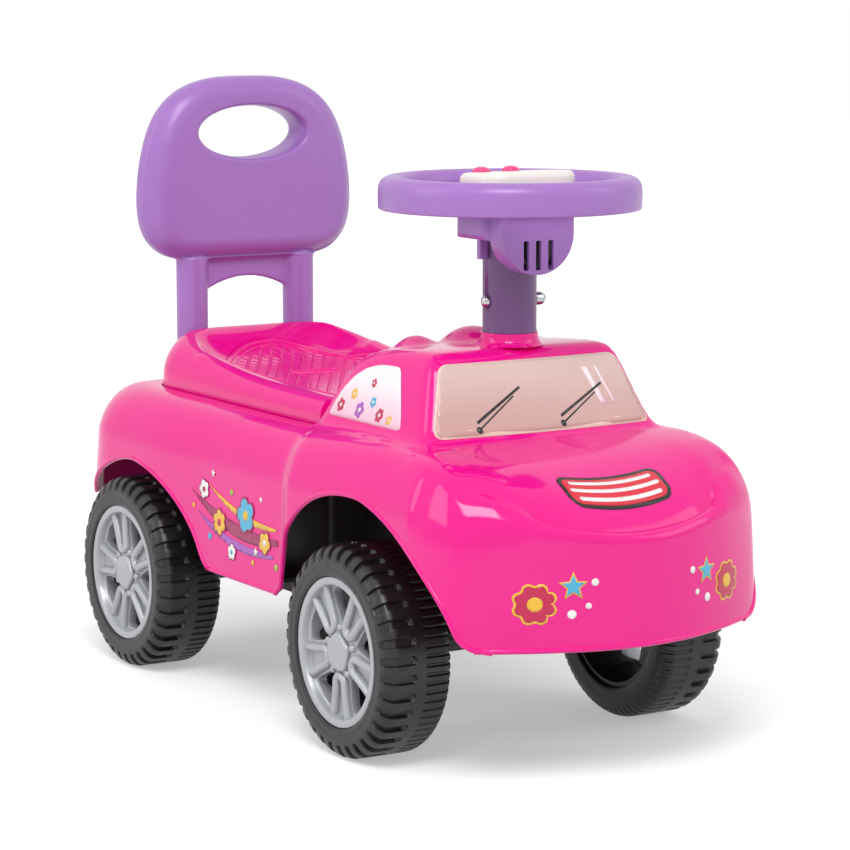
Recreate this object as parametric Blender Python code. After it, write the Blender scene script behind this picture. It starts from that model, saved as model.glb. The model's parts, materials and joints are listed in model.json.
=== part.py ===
"""Foot-to-floor ride-on toy car: moulded body, lidded seat, steered front axle and four wheels.

Metres, +Z up. X points to the car's left side, the nose faces -Y and the origin is on the
floor under the middle of the body. Each object is one separate piece of the toy.
"""
import bpy
import bmesh
from math import cos, exp, pi, sin, sqrt, tau
from mathutils import Matrix, Vector

# Fits and walls
GAP = 0.0003              # between pieces that touch
WALL = 0.0026             # moulded body wall

# Body, overall
BODY_LENGTH = 0.532
FENDER_HALF_WIDTH = 0.115
DOOR_HALF_WIDTH = 0.1105
REAR_HALF_WIDTH = 0.113
SKIRT_Z = 0.084           # bottom edge of the sides and of the bumper
TAIL_SKIRT_Z = 0.108      # bottom edge of the rear wall
WIDEST_Z = 0.150          # where the rounded shoulder has become the side wall
WALL_DRAFT = 0.003        # the side wall leans out by this much towards its bottom edge
NOSE_RADIUS = 0.145       # of the bumper, seen from above
FENDER_TOP_Z = 0.191
SHOULDER_Z = 0.187        # the ledge round the seat
LEDGE_Z = 0.149           # top of the bumper at the middle
HOOD_TOP_Z = 0.193        # where the bonnet meets the windscreen

# Cab
CAB_HALF_WIDTH = 0.083    # at its foot
SCREEN_FOOT_Y = -0.163
SCREEN_SLOPE = 2.15
CAB_SIDE_SLOPE = 3.07
ROOF_Z = 0.2480
ROOF_LIP_Y = -0.090
ROOF_LIP_Z = 0.2415
CAB_TAIL_Y = -0.029

# Running gear
WHEELBASE = 0.290
FRONT_AXLE_Y = -0.117
TYRE_RADIUS = 0.065
TYRE_WIDTH = 0.0465
TYRE_FACETS = 36
RIM_RADIUS = 0.0456
TRACK_OUTSIDE = 0.2460    # over both tyres
AXLE_DIAMETER = 0.008
STEER_TRAIL = 0.0030       # the steering axis stands this far ahead of the front axle
STEER_LIMIT = 15.0        # degrees each way

# Steering
ROD_DIAMETER = 0.012
COLUMN_DIAMETER = 0.033
COLLAR_TOP_Z = 0.2510
STEERING_WHEEL_RADIUS = 0.080
STEERING_GRIP_WIDTH = 0.016
STEERING_WHEEL_Z = 0.3258  # underside
STEERING_GRIP_HEIGHT = 0.0190

# Seat
SEAT_HALF_WIDTH = 0.079
SEAT_FRONT_Y = -0.0250
SEAT_TAIL_Y = 0.228
FINGER_Y = 0.118
SEAT_CORNER_RADIUS = 0.050
SEAT_DISH_Z = 0.200
LID_HALF_WIDTH = 0.060
LID_TIP_Y = 0.193
LID_HINGE_Y = -0.0135
LID_OPEN = 70.0           # degrees

# Backrest
BACK_Y = 0.219            # middle of the posts
BACK_BOTTOM_Z = 0.270
BACK_DEPTH = 0.030
POST_SPACING = 0.0844
POST_DIAMETER = 0.022

# Worked-out places
NOSE_Y = -BODY_LENGTH / 2
TAIL_Y = BODY_LENGTH / 2
REAR_AXLE_Y = FRONT_AXLE_Y + WHEELBASE
AXLE_Z = TYRE_RADIUS * cos(pi / TYRE_FACETS)
TYRE_OUTER_X = TRACK_OUTSIDE / 2
TYRE_INNER_X = TYRE_OUTER_X - TYRE_WIDTH
COLUMN_Y = FRONT_AXLE_Y - STEER_TRAIL

PINK = ("gloss_pink_shell", (0.86, 0.012, 0.28), 0.22, 0.0)
PURPLE = ("satin_purple_plastic", (0.33, 0.15, 0.50), 0.38, 0.0)
BLACK = ("matt_black_plastic", (0.016, 0.015, 0.017), 0.55, 0.0)
RUBBER = ("black_tyre_plastic", (0.012, 0.012, 0.013), 0.5, 0.0)
SILVER = ("silver_grey_plastic", (0.42, 0.43, 0.48), 0.35, 0.1)
CREAM = ("cream_white_plastic", (0.83, 0.79, 0.76), 0.4, 0.0)
BUTTON = ("button_pink_plastic", (0.80, 0.09, 0.27), 0.3, 0.0)
STEEL = ("zinc_plated_steel", (0.62, 0.62, 0.63), 0.28, 1.0)
FILM = ("printed_film", (0.58, 0.36, 0.33), 0.35, 0.0)
BOARD = ("green_circuit_board", (0.03, 0.20, 0.08), 0.5, 0.0)
CELL = ("battery_sleeve", (0.09, 0.10, 0.12), 0.4, 0.2)


def clear_scene():
    for thing in list(bpy.data.objects):
        bpy.data.objects.remove(thing, do_unlink=True)


def material(finish):
    name, colour, roughness, metallic = finish
    found = bpy.data.materials.get(name)
    if found:
        return found
    made = bpy.data.materials.new(name)
    made.use_nodes = True
    shader = made.node_tree.nodes["Principled BSDF"]
    shader.inputs["Base Color"].default_value = (*colour, 1.0)
    shader.inputs["Roughness"].default_value = roughness
    shader.inputs["Metallic"].default_value = metallic
    made.diffuse_color = (*colour, 1.0)
    return made


def add_object(name, bm, finish, origin=(0, 0, 0), sharp=40.0):
    """Make an object of the bmesh, whose points are given from origin, and put it there."""
    bmesh.ops.recalc_face_normals(bm, faces=bm.faces[:])
    mesh = bpy.data.meshes.new(name)
    bm.to_mesh(mesh)
    bm.free()
    mesh.shade_smooth()
    mesh.set_sharp_from_angle(angle=sharp * pi / 180)
    thing = bpy.data.objects.new(name, mesh)
    thing.location = origin
    bpy.context.scene.collection.objects.link(thing)
    if finish:
        mesh.materials.append(material(finish))
    return thing


def cutter(name, bm, origin=(0, 0, 0)):
    thing = add_object(name, bm, None, origin)
    thing.hide_render = True
    thing.display_type = "WIRE"
    return thing


def boolean(target, tool, operation="DIFFERENCE"):
    step = target.modifiers.new(operation.lower(), "BOOLEAN")
    step.operation = operation
    step.object = tool
    step.solver = "EXACT"
    return step


def smooth_step(value, low, high):
    t = min(1.0, max(0.0, (value - low) / (high - low)))
    return t * t * (3 - 2 * t)


def soft_max(a, b, blend):
    h = max(blend - abs(a - b), 0.0) / blend
    return max(a, b) + h * h * blend / 4


def soft_min(a, b, blend):
    return -soft_max(-a, -b, blend)


def curve_through(points, at):
    """A smooth rise and fall through (place, value) points."""
    if at <= points[0][0]:
        return points[0][1]
    for index in range(len(points) - 1):
        (p1, v1), (p2, v2) = points[index], points[index + 1]
        if at <= p2:
            p0, v0 = points[max(index - 1, 0)]
            p3, v3 = points[min(index + 2, len(points) - 1)]
            t = (at - p1) / (p2 - p1)
            m1 = (v2 - v0) / max(p2 - p0, 1e-9) * (p2 - p1)
            m2 = (v3 - v1) / max(p3 - p1, 1e-9) * (p2 - p1)
            return ((2 * t**3 - 3 * t**2 + 1) * v1 + (t**3 - 2 * t**2 + t) * m1
                    + (3 * t**2 - 2 * t**3) * v2 + (t**3 - t**2) * m2)
    return points[-1][1]


def turned(profile, facets, axis="Z", half_step=False):
    """Spin a closed outline of (radius, height) points; points at radius 0 become poles."""
    bm = bmesh.new()
    verts = [bm.verts.new((r, 0, h)) for r, h in profile]
    edges = [bm.edges.new((verts[i], verts[i + 1])) for i in range(len(verts) - 1)]
    if profile[0][0] > 0 or profile[-1][0] > 0:
        edges.append(bm.edges.new((verts[-1], verts[0])))
    if half_step:
        bmesh.ops.rotate(bm, verts=verts, cent=(0, 0, 0), matrix=Matrix.Rotation(pi / facets, 3, "Z"))
    bmesh.ops.spin(bm, geom=verts + edges, cent=(0, 0, 0), axis=(0, 0, 1), angle=tau,
                   steps=facets, use_merge=True, use_duplicate=False)
    bmesh.ops.remove_doubles(bm, verts=bm.verts[:], dist=1e-6)
    turn = {"X": Matrix.Rotation(pi / 2, 3, "Y"), "Y": Matrix.Rotation(-pi / 2, 3, "X")}
    if axis in turn:
        bmesh.ops.rotate(bm, verts=bm.verts[:], cent=(0, 0, 0), matrix=turn[axis])
    return bm


def tube_profile(outer, inner, low, high):
    return [(inner, low), (outer, low), (outer, high), (inner, high)]


def rod_profile(radius, low, high, chamfer=0.0):
    if chamfer:
        return [(0, low), (radius - chamfer, low), (radius, low + chamfer),
                (radius, high - chamfer), (radius - chamfer, high), (0, high)]
    return [(0, low), (radius, low), (radius, high), (0, high)]


def prism(outline, low, high, axis="Z"):
    """Extrude a closed outline. For Z its points are (x, y), for X (y, z) and for Y (x, z)."""
    place = {"Z": lambda p, d: (p[0], p[1], d), "X": lambda p, d: (d, p[0], p[1]),
             "Y": lambda p, d: (p[0], d, p[1])}[axis]
    bm = bmesh.new()
    face = bm.faces.new([bm.verts.new(place(p, low)) for p in outline])
    grown = bmesh.ops.extrude_face_region(bm, geom=[face])
    moved = [v for v in grown["geom"] if isinstance(v, bmesh.types.BMVert)]
    shift = Vector(place((0, 0), high)) - Vector(place((0, 0), low))
    bmesh.ops.translate(bm, verts=moved, vec=shift)
    return bm


def block(low, high, bevel=0.0, segments=1):
    bm = bmesh.new()
    bmesh.ops.create_cube(bm, size=1.0)
    size = Vector(high) - Vector(low)
    bmesh.ops.scale(bm, verts=bm.verts[:], vec=size)
    bmesh.ops.translate(bm, verts=bm.verts[:], vec=(Vector(low) + Vector(high)) / 2)
    if bevel:
        bmesh.ops.bevel(bm, geom=bm.edges[:], offset=bevel, segments=segments, affect="EDGES",
                        profile=0.5)
    return bm


def join(*parts):
    """Put the closed shells of several bmeshes into one, for a cutter with many pockets."""
    whole = bmesh.new()
    for part in parts:
        mesh = bpy.data.meshes.new("passing")
        part.to_mesh(mesh)
        part.free()
        whole.from_mesh(mesh)
        bpy.data.meshes.remove(mesh)
    return whole


def rounded_outline(half_x, low_y, high_y, radius, steps=4, front_radius=None):
    """A rectangle about X = 0 with rounded corners, its corners at low Y set apart if wanted."""
    front = radius if front_radius is None else front_radius
    points = []
    corners = ((half_x, high_y, radius, 0), (-half_x, high_y, radius, 1),
               (-half_x, low_y, front, 2), (half_x, low_y, front, 3))
    for x, y, r, quarter in corners:
        centre_x = x - r * (1 if x > 0 else -1)
        centre_y = y - r * (1 if quarter < 2 else -1)
        for step in range(steps + 1):
            angle = (quarter + step / steps) * pi / 2
            points.append((centre_x + r * cos(angle), centre_y + r * sin(angle)))
    return points


# Body surface: one height for each place seen from above, and rings for the rounded sides

HOOD_LINE = ((-0.261, LEDGE_Z), (-0.2575, LEDGE_Z), (-0.2550, 0.1525), (-0.250, 0.1580),
             (-0.240, 0.1665), (-0.225, 0.1750), (-0.205, 0.1830), (-0.180, 0.1895),
             (SCREEN_FOOT_Y, HOOD_TOP_Z), (-0.12, HOOD_TOP_Z))
FENDER_LINE = ((-0.261, 0.1745), (-0.240, 0.1815), (-0.210, 0.1870), (SCREEN_FOOT_Y, FENDER_TOP_Z),
               (-0.100, FENDER_TOP_Z), (-0.040, 0.188), (0.0, SHOULDER_Z))
GAUGES = ((0.0, -0.079, 0.026, 0.028, 0.2505), (0.037, -0.072, 0.019, 0.022, 0.2450),
          (-0.037, -0.072, 0.019, 0.022, 0.2450))
BODY_ROWS = (-0.261, -0.2572, -0.2545, -0.2500, -0.240, -0.222, -0.200, -0.180, -0.166, -0.159,
             -0.150, -0.141, -0.132, -0.112, -0.092, -0.078, -0.062, -0.047, -0.036, -0.028,
             -0.012, 0.040, 0.100, 0.160, 0.205, 0.232)
BODY_COLUMNS = (0.0, 0.20, 0.40, 0.58, 0.70, 0.79, 0.87, 0.935, 1.0)


def half_width(y):
    """Half width of the body at its widest level."""
    fender = 1 - smooth_step(y, -0.047, -0.033)
    rear = smooth_step(y, 0.06, 0.16)
    return (DOOR_HALF_WIDTH + (FENDER_HALF_WIDTH - DOOR_HALF_WIDTH) * fender
            + (REAR_HALF_WIDTH - DOOR_HALF_WIDTH) * rear)


def crown_place(across, row):
    """Where a grid point of the top lies, seen from above; across runs from -1 to 1."""
    reach = 0.0875 + 0.0035 * (1 - smooth_step(row, -0.047, -0.033))
    to_tail = max(0.0, (row - 0.150) / 0.082)
    x = across * (reach - 0.0105 * to_tail**2)
    to_nose = max(0.0, (SCREEN_FOOT_Y - row) / 0.098) ** 1.5
    bend = to_nose * (1.45 * x * x + 554 * x**4)
    return x, row + bend - 0.007 * to_tail**2 * across**4


def rim_place(across, row, on_row):
    """Where the same edge point comes to lie on the widest outline."""
    if on_row and row < 0:
        x = across * 0.105
        return x, NOSE_Y + x * x / (2 * NOSE_RADIUS)
    if on_row:
        return across * 0.0984, TAIL_Y - 0.0146 * abs(across) ** 3
    side = 1 if across > 0 else -1
    y_front, y_back = NOSE_Y + 0.105**2 / (2 * NOSE_RADIUS), TAIL_Y - 0.0146
    first, last = crown_place(1, BODY_ROWS[0])[1], crown_place(1, BODY_ROWS[-1])[1]
    y = y_front + (crown_place(1, row)[1] - first) / (last - first) * (y_back - y_front)
    nose = max(0.0, (-0.190 - y) / (-0.190 - y_front))
    tail = max(0.0, (y - 0.200) / (y_back - 0.200))
    return side * (half_width(y) - 0.010 * nose**2 - 0.0146 * tail**3), y


def body_height(x, y, row):
    """Height of the bonnet, fenders and ledge, before the cab rises from them."""
    to_nose = max(0.0, min(1.0, (SCREEN_FOOT_Y - row) / 0.098))
    hood = curve_through(HOOD_LINE, row) + (2.1 * to_nose - 0.35 * (1 - to_nose)) * x * x
    hood -= 0.0022 * exp(-((abs(x) - 0.073) / 0.007) ** 2) * to_nose * (1 - to_nose) * 4
    fender = curve_through(FENDER_LINE, row)
    if row >= SCREEN_FOOT_Y:
        return fender + (hood - fender) * (1 - smooth_step(row, SCREEN_FOOT_Y, -0.12))
    return hood + (fender - hood) * smooth_step(abs(x), 0.070, 0.086)


def cab_height(x, y):
    """Height of the cab: roof, windscreen, sides, sloping tail and the gauge humps on it."""
    roof = ROOF_Z - 0.9 * x * x - 0.12 * max(0.0, y - COLUMN_Y) - 0.06 * max(0.0, COLUMN_Y - y)
    screen = HOOD_TOP_Z + (y - SCREEN_FOOT_Y - 0.6 * x * x) * SCREEN_SLOPE
    side = FENDER_TOP_Z + (CAB_HALF_WIDTH - abs(x)) * CAB_SIDE_SLOPE
    run = min(1.0, max(0.0, (y - ROOF_LIP_Y) / (CAB_TAIL_Y - ROOF_LIP_Y)))
    tail = SHOULDER_Z - 0.004 + (ROOF_LIP_Z - SHOULDER_Z + 0.006) * sqrt(1 - run * run)
    if y > CAB_TAIL_Y:
        tail = 0.0
    shape = soft_min(soft_min(roof, screen, 0.006), soft_min(side, tail, 0.005), 0.006)
    for centre_x, centre_y, reach_x, reach_y, top in GAUGES:
        left = 1 - ((x - centre_x) / reach_x) ** 2 - ((y - centre_y) / reach_y) ** 2
        if left > 0:
            shape = max(shape, top - 0.026 + 0.026 * sqrt(left))
    return shape


def surface_height(x, y, row):
    return soft_max(body_height(x, y, row), cab_height(x, y), 0.004)


def skirt_bottom(y):
    return SKIRT_Z + (TAIL_SKIRT_Z - SKIRT_Z) * smooth_step(y, 0.19, 0.24)


def moulded_skin(columns, rows, crown, height, rim, levels):
    """A crowned grid whose edge is drawn out ring by ring into rounded shoulders and walls.

    crown and rim place a grid point on the top and on the widest outline; levels holds one
    function for each ring, from the start point and its rim place to the ring's point.
    """
    across = [-c for c in reversed(columns[1:])] + list(columns)
    bm = bmesh.new()
    width, depth = len(across), len(rows)
    bmesh.ops.create_grid(bm, x_segments=width - 1, y_segments=depth - 1, size=1.0)
    source = {}
    for vert in bm.verts:
        i = round((vert.co.x + 1) / 2 * (width - 1))
        j = round((vert.co.y + 1) / 2 * (depth - 1))
        x, y = crown(across[i], rows[j])
        vert.co = (x, y, height(x, y, rows[j]))
        if i in (0, width - 1) or j in (0, depth - 1):
            source[vert] = (vert.co.copy(), rim(across[i], rows[j], j in (0, depth - 1)))
    edges = [edge for edge in bm.edges if edge.is_boundary]
    for level in levels:
        grown = bmesh.ops.extrude_edge_only(bm, edges=edges)
        edges = [e for e in grown["geom"] if isinstance(e, bmesh.types.BMEdge) and e.is_boundary]
        matched = {}
        for vert in {v for e in edges for v in e.verts}:
            above = next(v for v in (e.other_vert(vert) for e in vert.link_edges) if v in source)
            matched[vert] = source[above]
            vert.co = level(*source[above])
        source = matched
    bmesh.ops.recalc_face_normals(bm, faces=bm.faces[:])
    if sum(face.normal.z for face in bm.faces) < 0:
        bmesh.ops.reverse_faces(bm, faces=bm.faces[:])
    return bm


def shoulder_level(part, lowest):
    """A ring on the quarter round from the crown, at part 0, to the upright wall, at part 1."""
    def ring(start, place):
        flat = start.xy.lerp(Vector(place), sin(part * pi / 2))
        reach = min(lowest, start.z - 0.006)
        return Vector((flat.x, flat.y, start.z - (start.z - reach) * (1 - cos(part * pi / 2))))
    return ring


def wall_level(part, top, bottom, draft):
    """A ring on the wall below the shoulder; bottom gives the lower edge's height at a place."""
    def ring(start, place):
        outward = (Vector(place) - start.xy).normalized()
        flat = Vector(place) + outward * draft * part
        reach = min(top, start.z - 0.006)
        return Vector((flat.x, flat.y, reach + (bottom(place[1]) - reach) * part))
    return ring


def body_skin(rows=BODY_ROWS, columns=BODY_COLUMNS, shoulder_steps=4):
    levels = [shoulder_level(step / shoulder_steps, WIDEST_Z) for step in range(1, shoulder_steps + 1)]
    levels.append(wall_level(1.0, WIDEST_Z, skirt_bottom, WALL_DRAFT))
    return moulded_skin(columns, rows, crown_place, surface_height, rim_place, levels)


def arch_outline(mid_y, top_z, front, back, foot_z=SKIRT_Z, steps=7):
    """A wheel arch in (y, z): front and back give each side's (reach, fullness)."""
    points = []
    for side, (reach, fullness), order in ((1, back, range(steps + 1)),
                                           (-1, front, range(steps - 1, -1, -1))):
        for step in order:
            angle = step / steps * pi / 2
            y = mid_y + side * reach * cos(angle) ** (2 / fullness)
            points.append((y, foot_z + (top_z - foot_z) * sin(angle) ** (2 / fullness)))
    below = foot_z - 0.010
    return [(mid_y + back[0], below)] + points + [(mid_y - front[0], below)]


FRONT_ARCH = arch_outline(-0.125, 0.160, (0.105, 1.65), (0.091, 2.3))
REAR_ARCH = arch_outline(0.174, 0.1428, (0.103, 1.6), (0.086, 1.7))
BOSS_PLACES = ((0.096, -0.004), (-0.096, -0.004), (0.026, -0.238), (-0.026, -0.238))
BOSS_RADIUS = 0.0042
SCREW_RADIUS = 0.0014
WING_Z = 0.0865           # underside of the chassis wings that carry the shell
CHASSIS_WALL = 0.0025
COLLAR_SPIGOT_RADIUS = 0.0150


def seat_outline(shrink=0.0, steps=5):
    return rounded_outline(SEAT_HALF_WIDTH - shrink, SEAT_FRONT_Y + shrink, SEAT_TAIL_Y - shrink,
                           SEAT_CORNER_RADIUS - shrink, steps, front_radius=0.004)


def build_body_shell():
    shell = add_object("body_shell", body_skin(), PINK, sharp=50)
    solid = shell.modifiers.new("wall", "SOLIDIFY")
    solid.thickness = WALL
    solid.offset = -1
    solid.use_even_offset = True
    for name, outline in (("front_arch", FRONT_ARCH), ("rear_arch", REAR_ARCH)):
        boolean(shell, cutter(f"cut_{name}", prism(outline, -0.14, 0.14, "X")))
    boolean(shell, cutter("cut_seat_opening", prism(seat_outline(-0.0022), 0.150, 0.30)))
    bore = turned(rod_profile(COLLAR_SPIGOT_RADIUS + GAP, 0.20, 0.28), 20)
    boolean(shell, cutter("cut_column_bore", bore, (0, COLUMN_Y, 0)))
    bosses, pilots = [], []
    for x, y in BOSS_PLACES:
        row = y - 0.004 if y < SCREEN_FOOT_Y else y
        low = WING_Z + CHASSIS_WALL + GAP
        boss = turned(rod_profile(BOSS_RADIUS, low, surface_height(x, y, row) - WALL / 2), 8)
        pilot = turned(rod_profile(SCREW_RADIUS + GAP, low - 0.002, low + 0.010), 6)
        for bm, group in ((boss, bosses), (pilot, pilots)):
            bmesh.ops.translate(bm, verts=bm.verts[:], vec=(x, y, 0))
            group.append(bm)
    boolean(shell, cutter("add_bosses", join(*bosses)), "UNION")
    boolean(shell, cutter("cut_boss_pilots", join(*pilots)))


def film(name, outline, low, high, axis):
    """A printed film: the body's own outer skin, stood off by the gap, kept inside an outline."""
    bm = body_skin()
    bm.normal_update()
    stand_off = {vert: vert.normal * GAP for vert in bm.verts}
    for vert, shift in stand_off.items():
        vert.co += shift
    thing = add_object(name, bm, FILM)
    skin = thing.modifiers.new("film", "SOLIDIFY")
    skin.thickness = 0.0007
    skin.offset = 1
    boolean(thing, cutter(f"outline_{name}", prism(outline, low, high, axis)), "INTERSECT")


def build_films():
    low, high = HOOD_TOP_Z + 0.0035, 0.2355
    foot, head = 0.0755, 0.0615
    screen = [(-foot, low), (foot, low), (head + 0.0015, high - 0.005), (head - 0.005, high),
              (5e-3 - head, high), (-head - 0.0015, high - 0.005)]
    film("windscreen_film", screen, -0.175, -0.130, "Y")
    pane = [(-0.1270, 0.1965), (-0.0405, 0.1965), (-0.0430, 0.2050), (-0.0490, 0.2140),
            (-0.0580, 0.2220), (-0.0700, 0.2285), (-0.0850, 0.2315), (-0.1060, 0.2315)]
    film("side_film_left", pane, 0.055, 0.100, "X")
    film("side_film_right", pane, -0.100, -0.055, "X")


# Seat form with its crest, and the lid that lies in it

SEAT_ROWS = (-0.0205, -0.0100, 0.005, 0.040, 0.090, 0.130, 0.160, 0.182, 0.198, 0.212)
SEAT_COLUMNS = (0.0, 0.40, 0.72, 0.86, 1.0)
SEAT_WALL = 0.0048
SEAT_FOOT_Z = 0.1760
LID_THICKNESS = 0.0022
RIM_LINE = ((-0.030, 0.2035), (0.080, 0.2060), (0.160, 0.2145), (0.200, 0.2225), (0.212, 0.2240))
DISH_LINE = ((-0.030, 0.1985), (0.050, 0.1990), (0.130, SEAT_DISH_Z + 0.0005), (0.170, 0.2030),
             (0.192, 0.2090), (0.212, 0.2240))
HINGE_AXIS_Y = LID_HINGE_Y - 0.0020
HINGE_AXIS_Z = 0.1985     # level with the top of the lid
HINGE_RADIUS = 0.0028
HINGE_PIN_RADIUS = 0.0013
LID_SWING_RADIUS = 0.0065  # room for the lid's raised front corners as it opens
KNUCKLE_SPLIT = 0.018
KNUCKLE_END = 0.034


def seat_crown(across, row):
    to_tail = max(0.0, (row - 0.120) / 0.092)
    x = across * (0.0665 - 0.016 * to_tail**3)
    return x, row - 0.012 * to_tail**2 * across**4


def seat_rim(across, row, on_row):
    half, corner = SEAT_HALF_WIDTH - 0.0003, SEAT_CORNER_RADIUS
    inset = corner * (1 - cos(pi / 4))
    y_front, y_back = SEAT_FRONT_Y, SEAT_TAIL_Y - inset
    if on_row and row < 0:
        return across * half, y_front
    if on_row:
        return across * (half - inset), SEAT_TAIL_Y - inset * abs(across) ** 3
    first, last = seat_crown(1, SEAT_ROWS[0])[1], seat_crown(1, SEAT_ROWS[-1])[1]
    y = y_front + (seat_crown(1, row)[1] - first) / (last - first) * (y_back - y_front)
    tail = max(0.0, (y - (SEAT_TAIL_Y - corner)) / (corner - inset))
    return (1 if across > 0 else -1) * (half - inset * tail**3), y


def seat_height(x, y, row):
    rim, dish = curve_through(RIM_LINE, row), curve_through(DISH_LINE, row)
    return dish + (rim - dish) * smooth_step(abs(x), 0.044, 0.066) + 0.4 * x * x * (1 - abs(x) / 0.07)


def seat_skin():
    levels = [shoulder_level(step / 3, 0.1930) for step in range(1, 4)]
    levels.append(wall_level(1.0, 0.1930, lambda y: SEAT_FOOT_Z, 0.0))
    return moulded_skin(SEAT_COLUMNS, SEAT_ROWS, seat_crown, seat_height, seat_rim, levels)


def lid_outline(grow=0.0, tip_steps=10):
    """Straight sides from the hinge, then a half oval round the rear tip."""
    straight_to = 0.110
    half = LID_HALF_WIDTH + grow
    points = [(-half, LID_HINGE_Y - grow), (half, LID_HINGE_Y - grow)]
    for step in range(tip_steps + 1):
        angle = pi * step / tip_steps
        points.append((half * cos(angle), straight_to + (LID_TIP_Y + grow - straight_to) * sin(angle)))
    return points


def seat_layer(name, finish, top, depth):
    """The seat's skin as a layer, from top above its surface to depth below it."""
    bm = seat_skin()
    bm.normal_update()
    lift = {vert: vert.normal * top for vert in bm.verts}
    for vert, shift in lift.items():
        vert.co += shift
    layer = add_object(name, bm, finish, sharp=50)
    solid = layer.modifiers.new("layer", "SOLIDIFY")
    solid.thickness = top + depth
    solid.offset = -1
    return layer


def build_seat():
    seat = seat_layer("seat_form", PINK, 0.0, SEAT_WALL)
    rebate = seat_layer("cut_lid_rebate", None, 0.006, LID_THICKNESS + 2.5 * GAP)
    rebate.hide_render = True
    rebate.display_type = "WIRE"
    lid_room = prism(lid_outline(2 * GAP), 0.15, 0.26)
    boolean(rebate, cutter("outline_lid_room", lid_room), "INTERSECT")
    boolean(seat, rebate)
    boolean(seat, cutter("cut_storage_mouth", prism(lid_outline(-0.005), 0.15, 0.26)))
    sockets = []
    for side in (-1, 1):
        socket = turned(rod_profile(POST_DIAMETER / 2 + GAP, 0.15, 0.26), 16)
        bmesh.ops.translate(socket, verts=socket.verts[:], vec=(side * POST_SPACING / 2, BACK_Y, 0))
        sockets.append(socket)
    post_room = cutter("cut_post_sockets", join(*sockets))
    boolean(seat, post_room)
    boolean(bpy.data.objects["body_shell"], post_room)
    lid = seat_layer("storage_lid", PINK, 0.0, LID_THICKNESS)
    boolean(lid, cutter("outline_lid", prism(lid_outline(), 0.15, 0.26)), "INTERSECT")
    finger = turned([(0, 0.0), (0.75, 0.1), (1.0, 0.5), (1.0, 2.0), (0, 2.0)], 16)
    bmesh.ops.scale(finger, verts=finger.verts[:], vec=(0.0175, 0.0065, 0.0042))
    boolean(lid, cutter("cut_finger_recess", finger, (0, FINGER_Y, seat_height(0, 0, FINGER_Y) - 0.0012)))
    axis_place = (0, HINGE_AXIS_Y, HINGE_AXIS_Z)
    room = turned(rod_profile(HINGE_RADIUS + 2 * GAP, -KNUCKLE_SPLIT, KNUCKLE_SPLIT), 12, "X")
    boolean(seat, cutter("cut_knuckle_room", room, axis_place))
    notches = [turned(rod_profile(HINGE_RADIUS + 2 * GAP, *sorted((side * (KNUCKLE_SPLIT - GAP / 2),
                                                                   side * (KNUCKLE_END + GAP)))), 12, "X")
               for side in (-1, 1)]
    boolean(lid, cutter("cut_lid_notches", join(*notches), axis_place))
    spans = ((lid, GAP - KNUCKLE_SPLIT, KNUCKLE_SPLIT - GAP), (seat, KNUCKLE_SPLIT, KNUCKLE_END),
             (seat, -KNUCKLE_END, -KNUCKLE_SPLIT))
    for owner, low, high in spans:
        barrel = turned(rod_profile(HINGE_RADIUS, low, high), 12, "X")
        boolean(owner, cutter(f"knuckle_{owner.name}_{low:.3f}", barrel, axis_place), "UNION")
    reliefs = []
    for side in (-1, 1):
        arc = [(HINGE_AXIS_Y + LID_SWING_RADIUS * cos(pi * k / 8),
                HINGE_AXIS_Z + GAP + LID_SWING_RADIUS * sin(pi * k / 8)) for k in range(9)]
        reliefs.append(prism(arc, *sorted((side * (KNUCKLE_END + GAP), side * (LID_HALF_WIDTH + 2 * GAP))), "X"))
    boolean(seat, cutter("cut_lid_swing_room", join(*reliefs)))
    pin_room = turned(rod_profile(HINGE_PIN_RADIUS + GAP, -0.05, 0.05), 12, "X")
    bore = cutter("cut_hinge_bore", pin_room, axis_place)
    boolean(seat, bore)
    boolean(lid, bore)
    pin = turned(rod_profile(HINGE_PIN_RADIUS, -KNUCKLE_END, KNUCKLE_END), 12, "X")
    add_object("lid_hinge_pin", pin, STEEL, axis_place)
    lid.data.transform(Matrix.Translation(-Vector(axis_place)))
    lid.location = axis_place


# Chassis: a storage tub behind, a narrow box between the front wheels, and wings to the skirts

TUB_HALF_WIDTH = 0.0700
TUB_FRONT_Y = -0.0200
TUB_FLOOR_Z = 0.0705
FOOT_PAD_Z = 0.0690       # flat pad under the tub, to stand the car on with its wheels free
NARROW_HALF_WIDTH = 0.0440
NARROW_TOP_Z = 0.1350
FRONT_FLOOR_Z = 0.0835
CHASSIS_NOSE_Y = -0.2330


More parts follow.
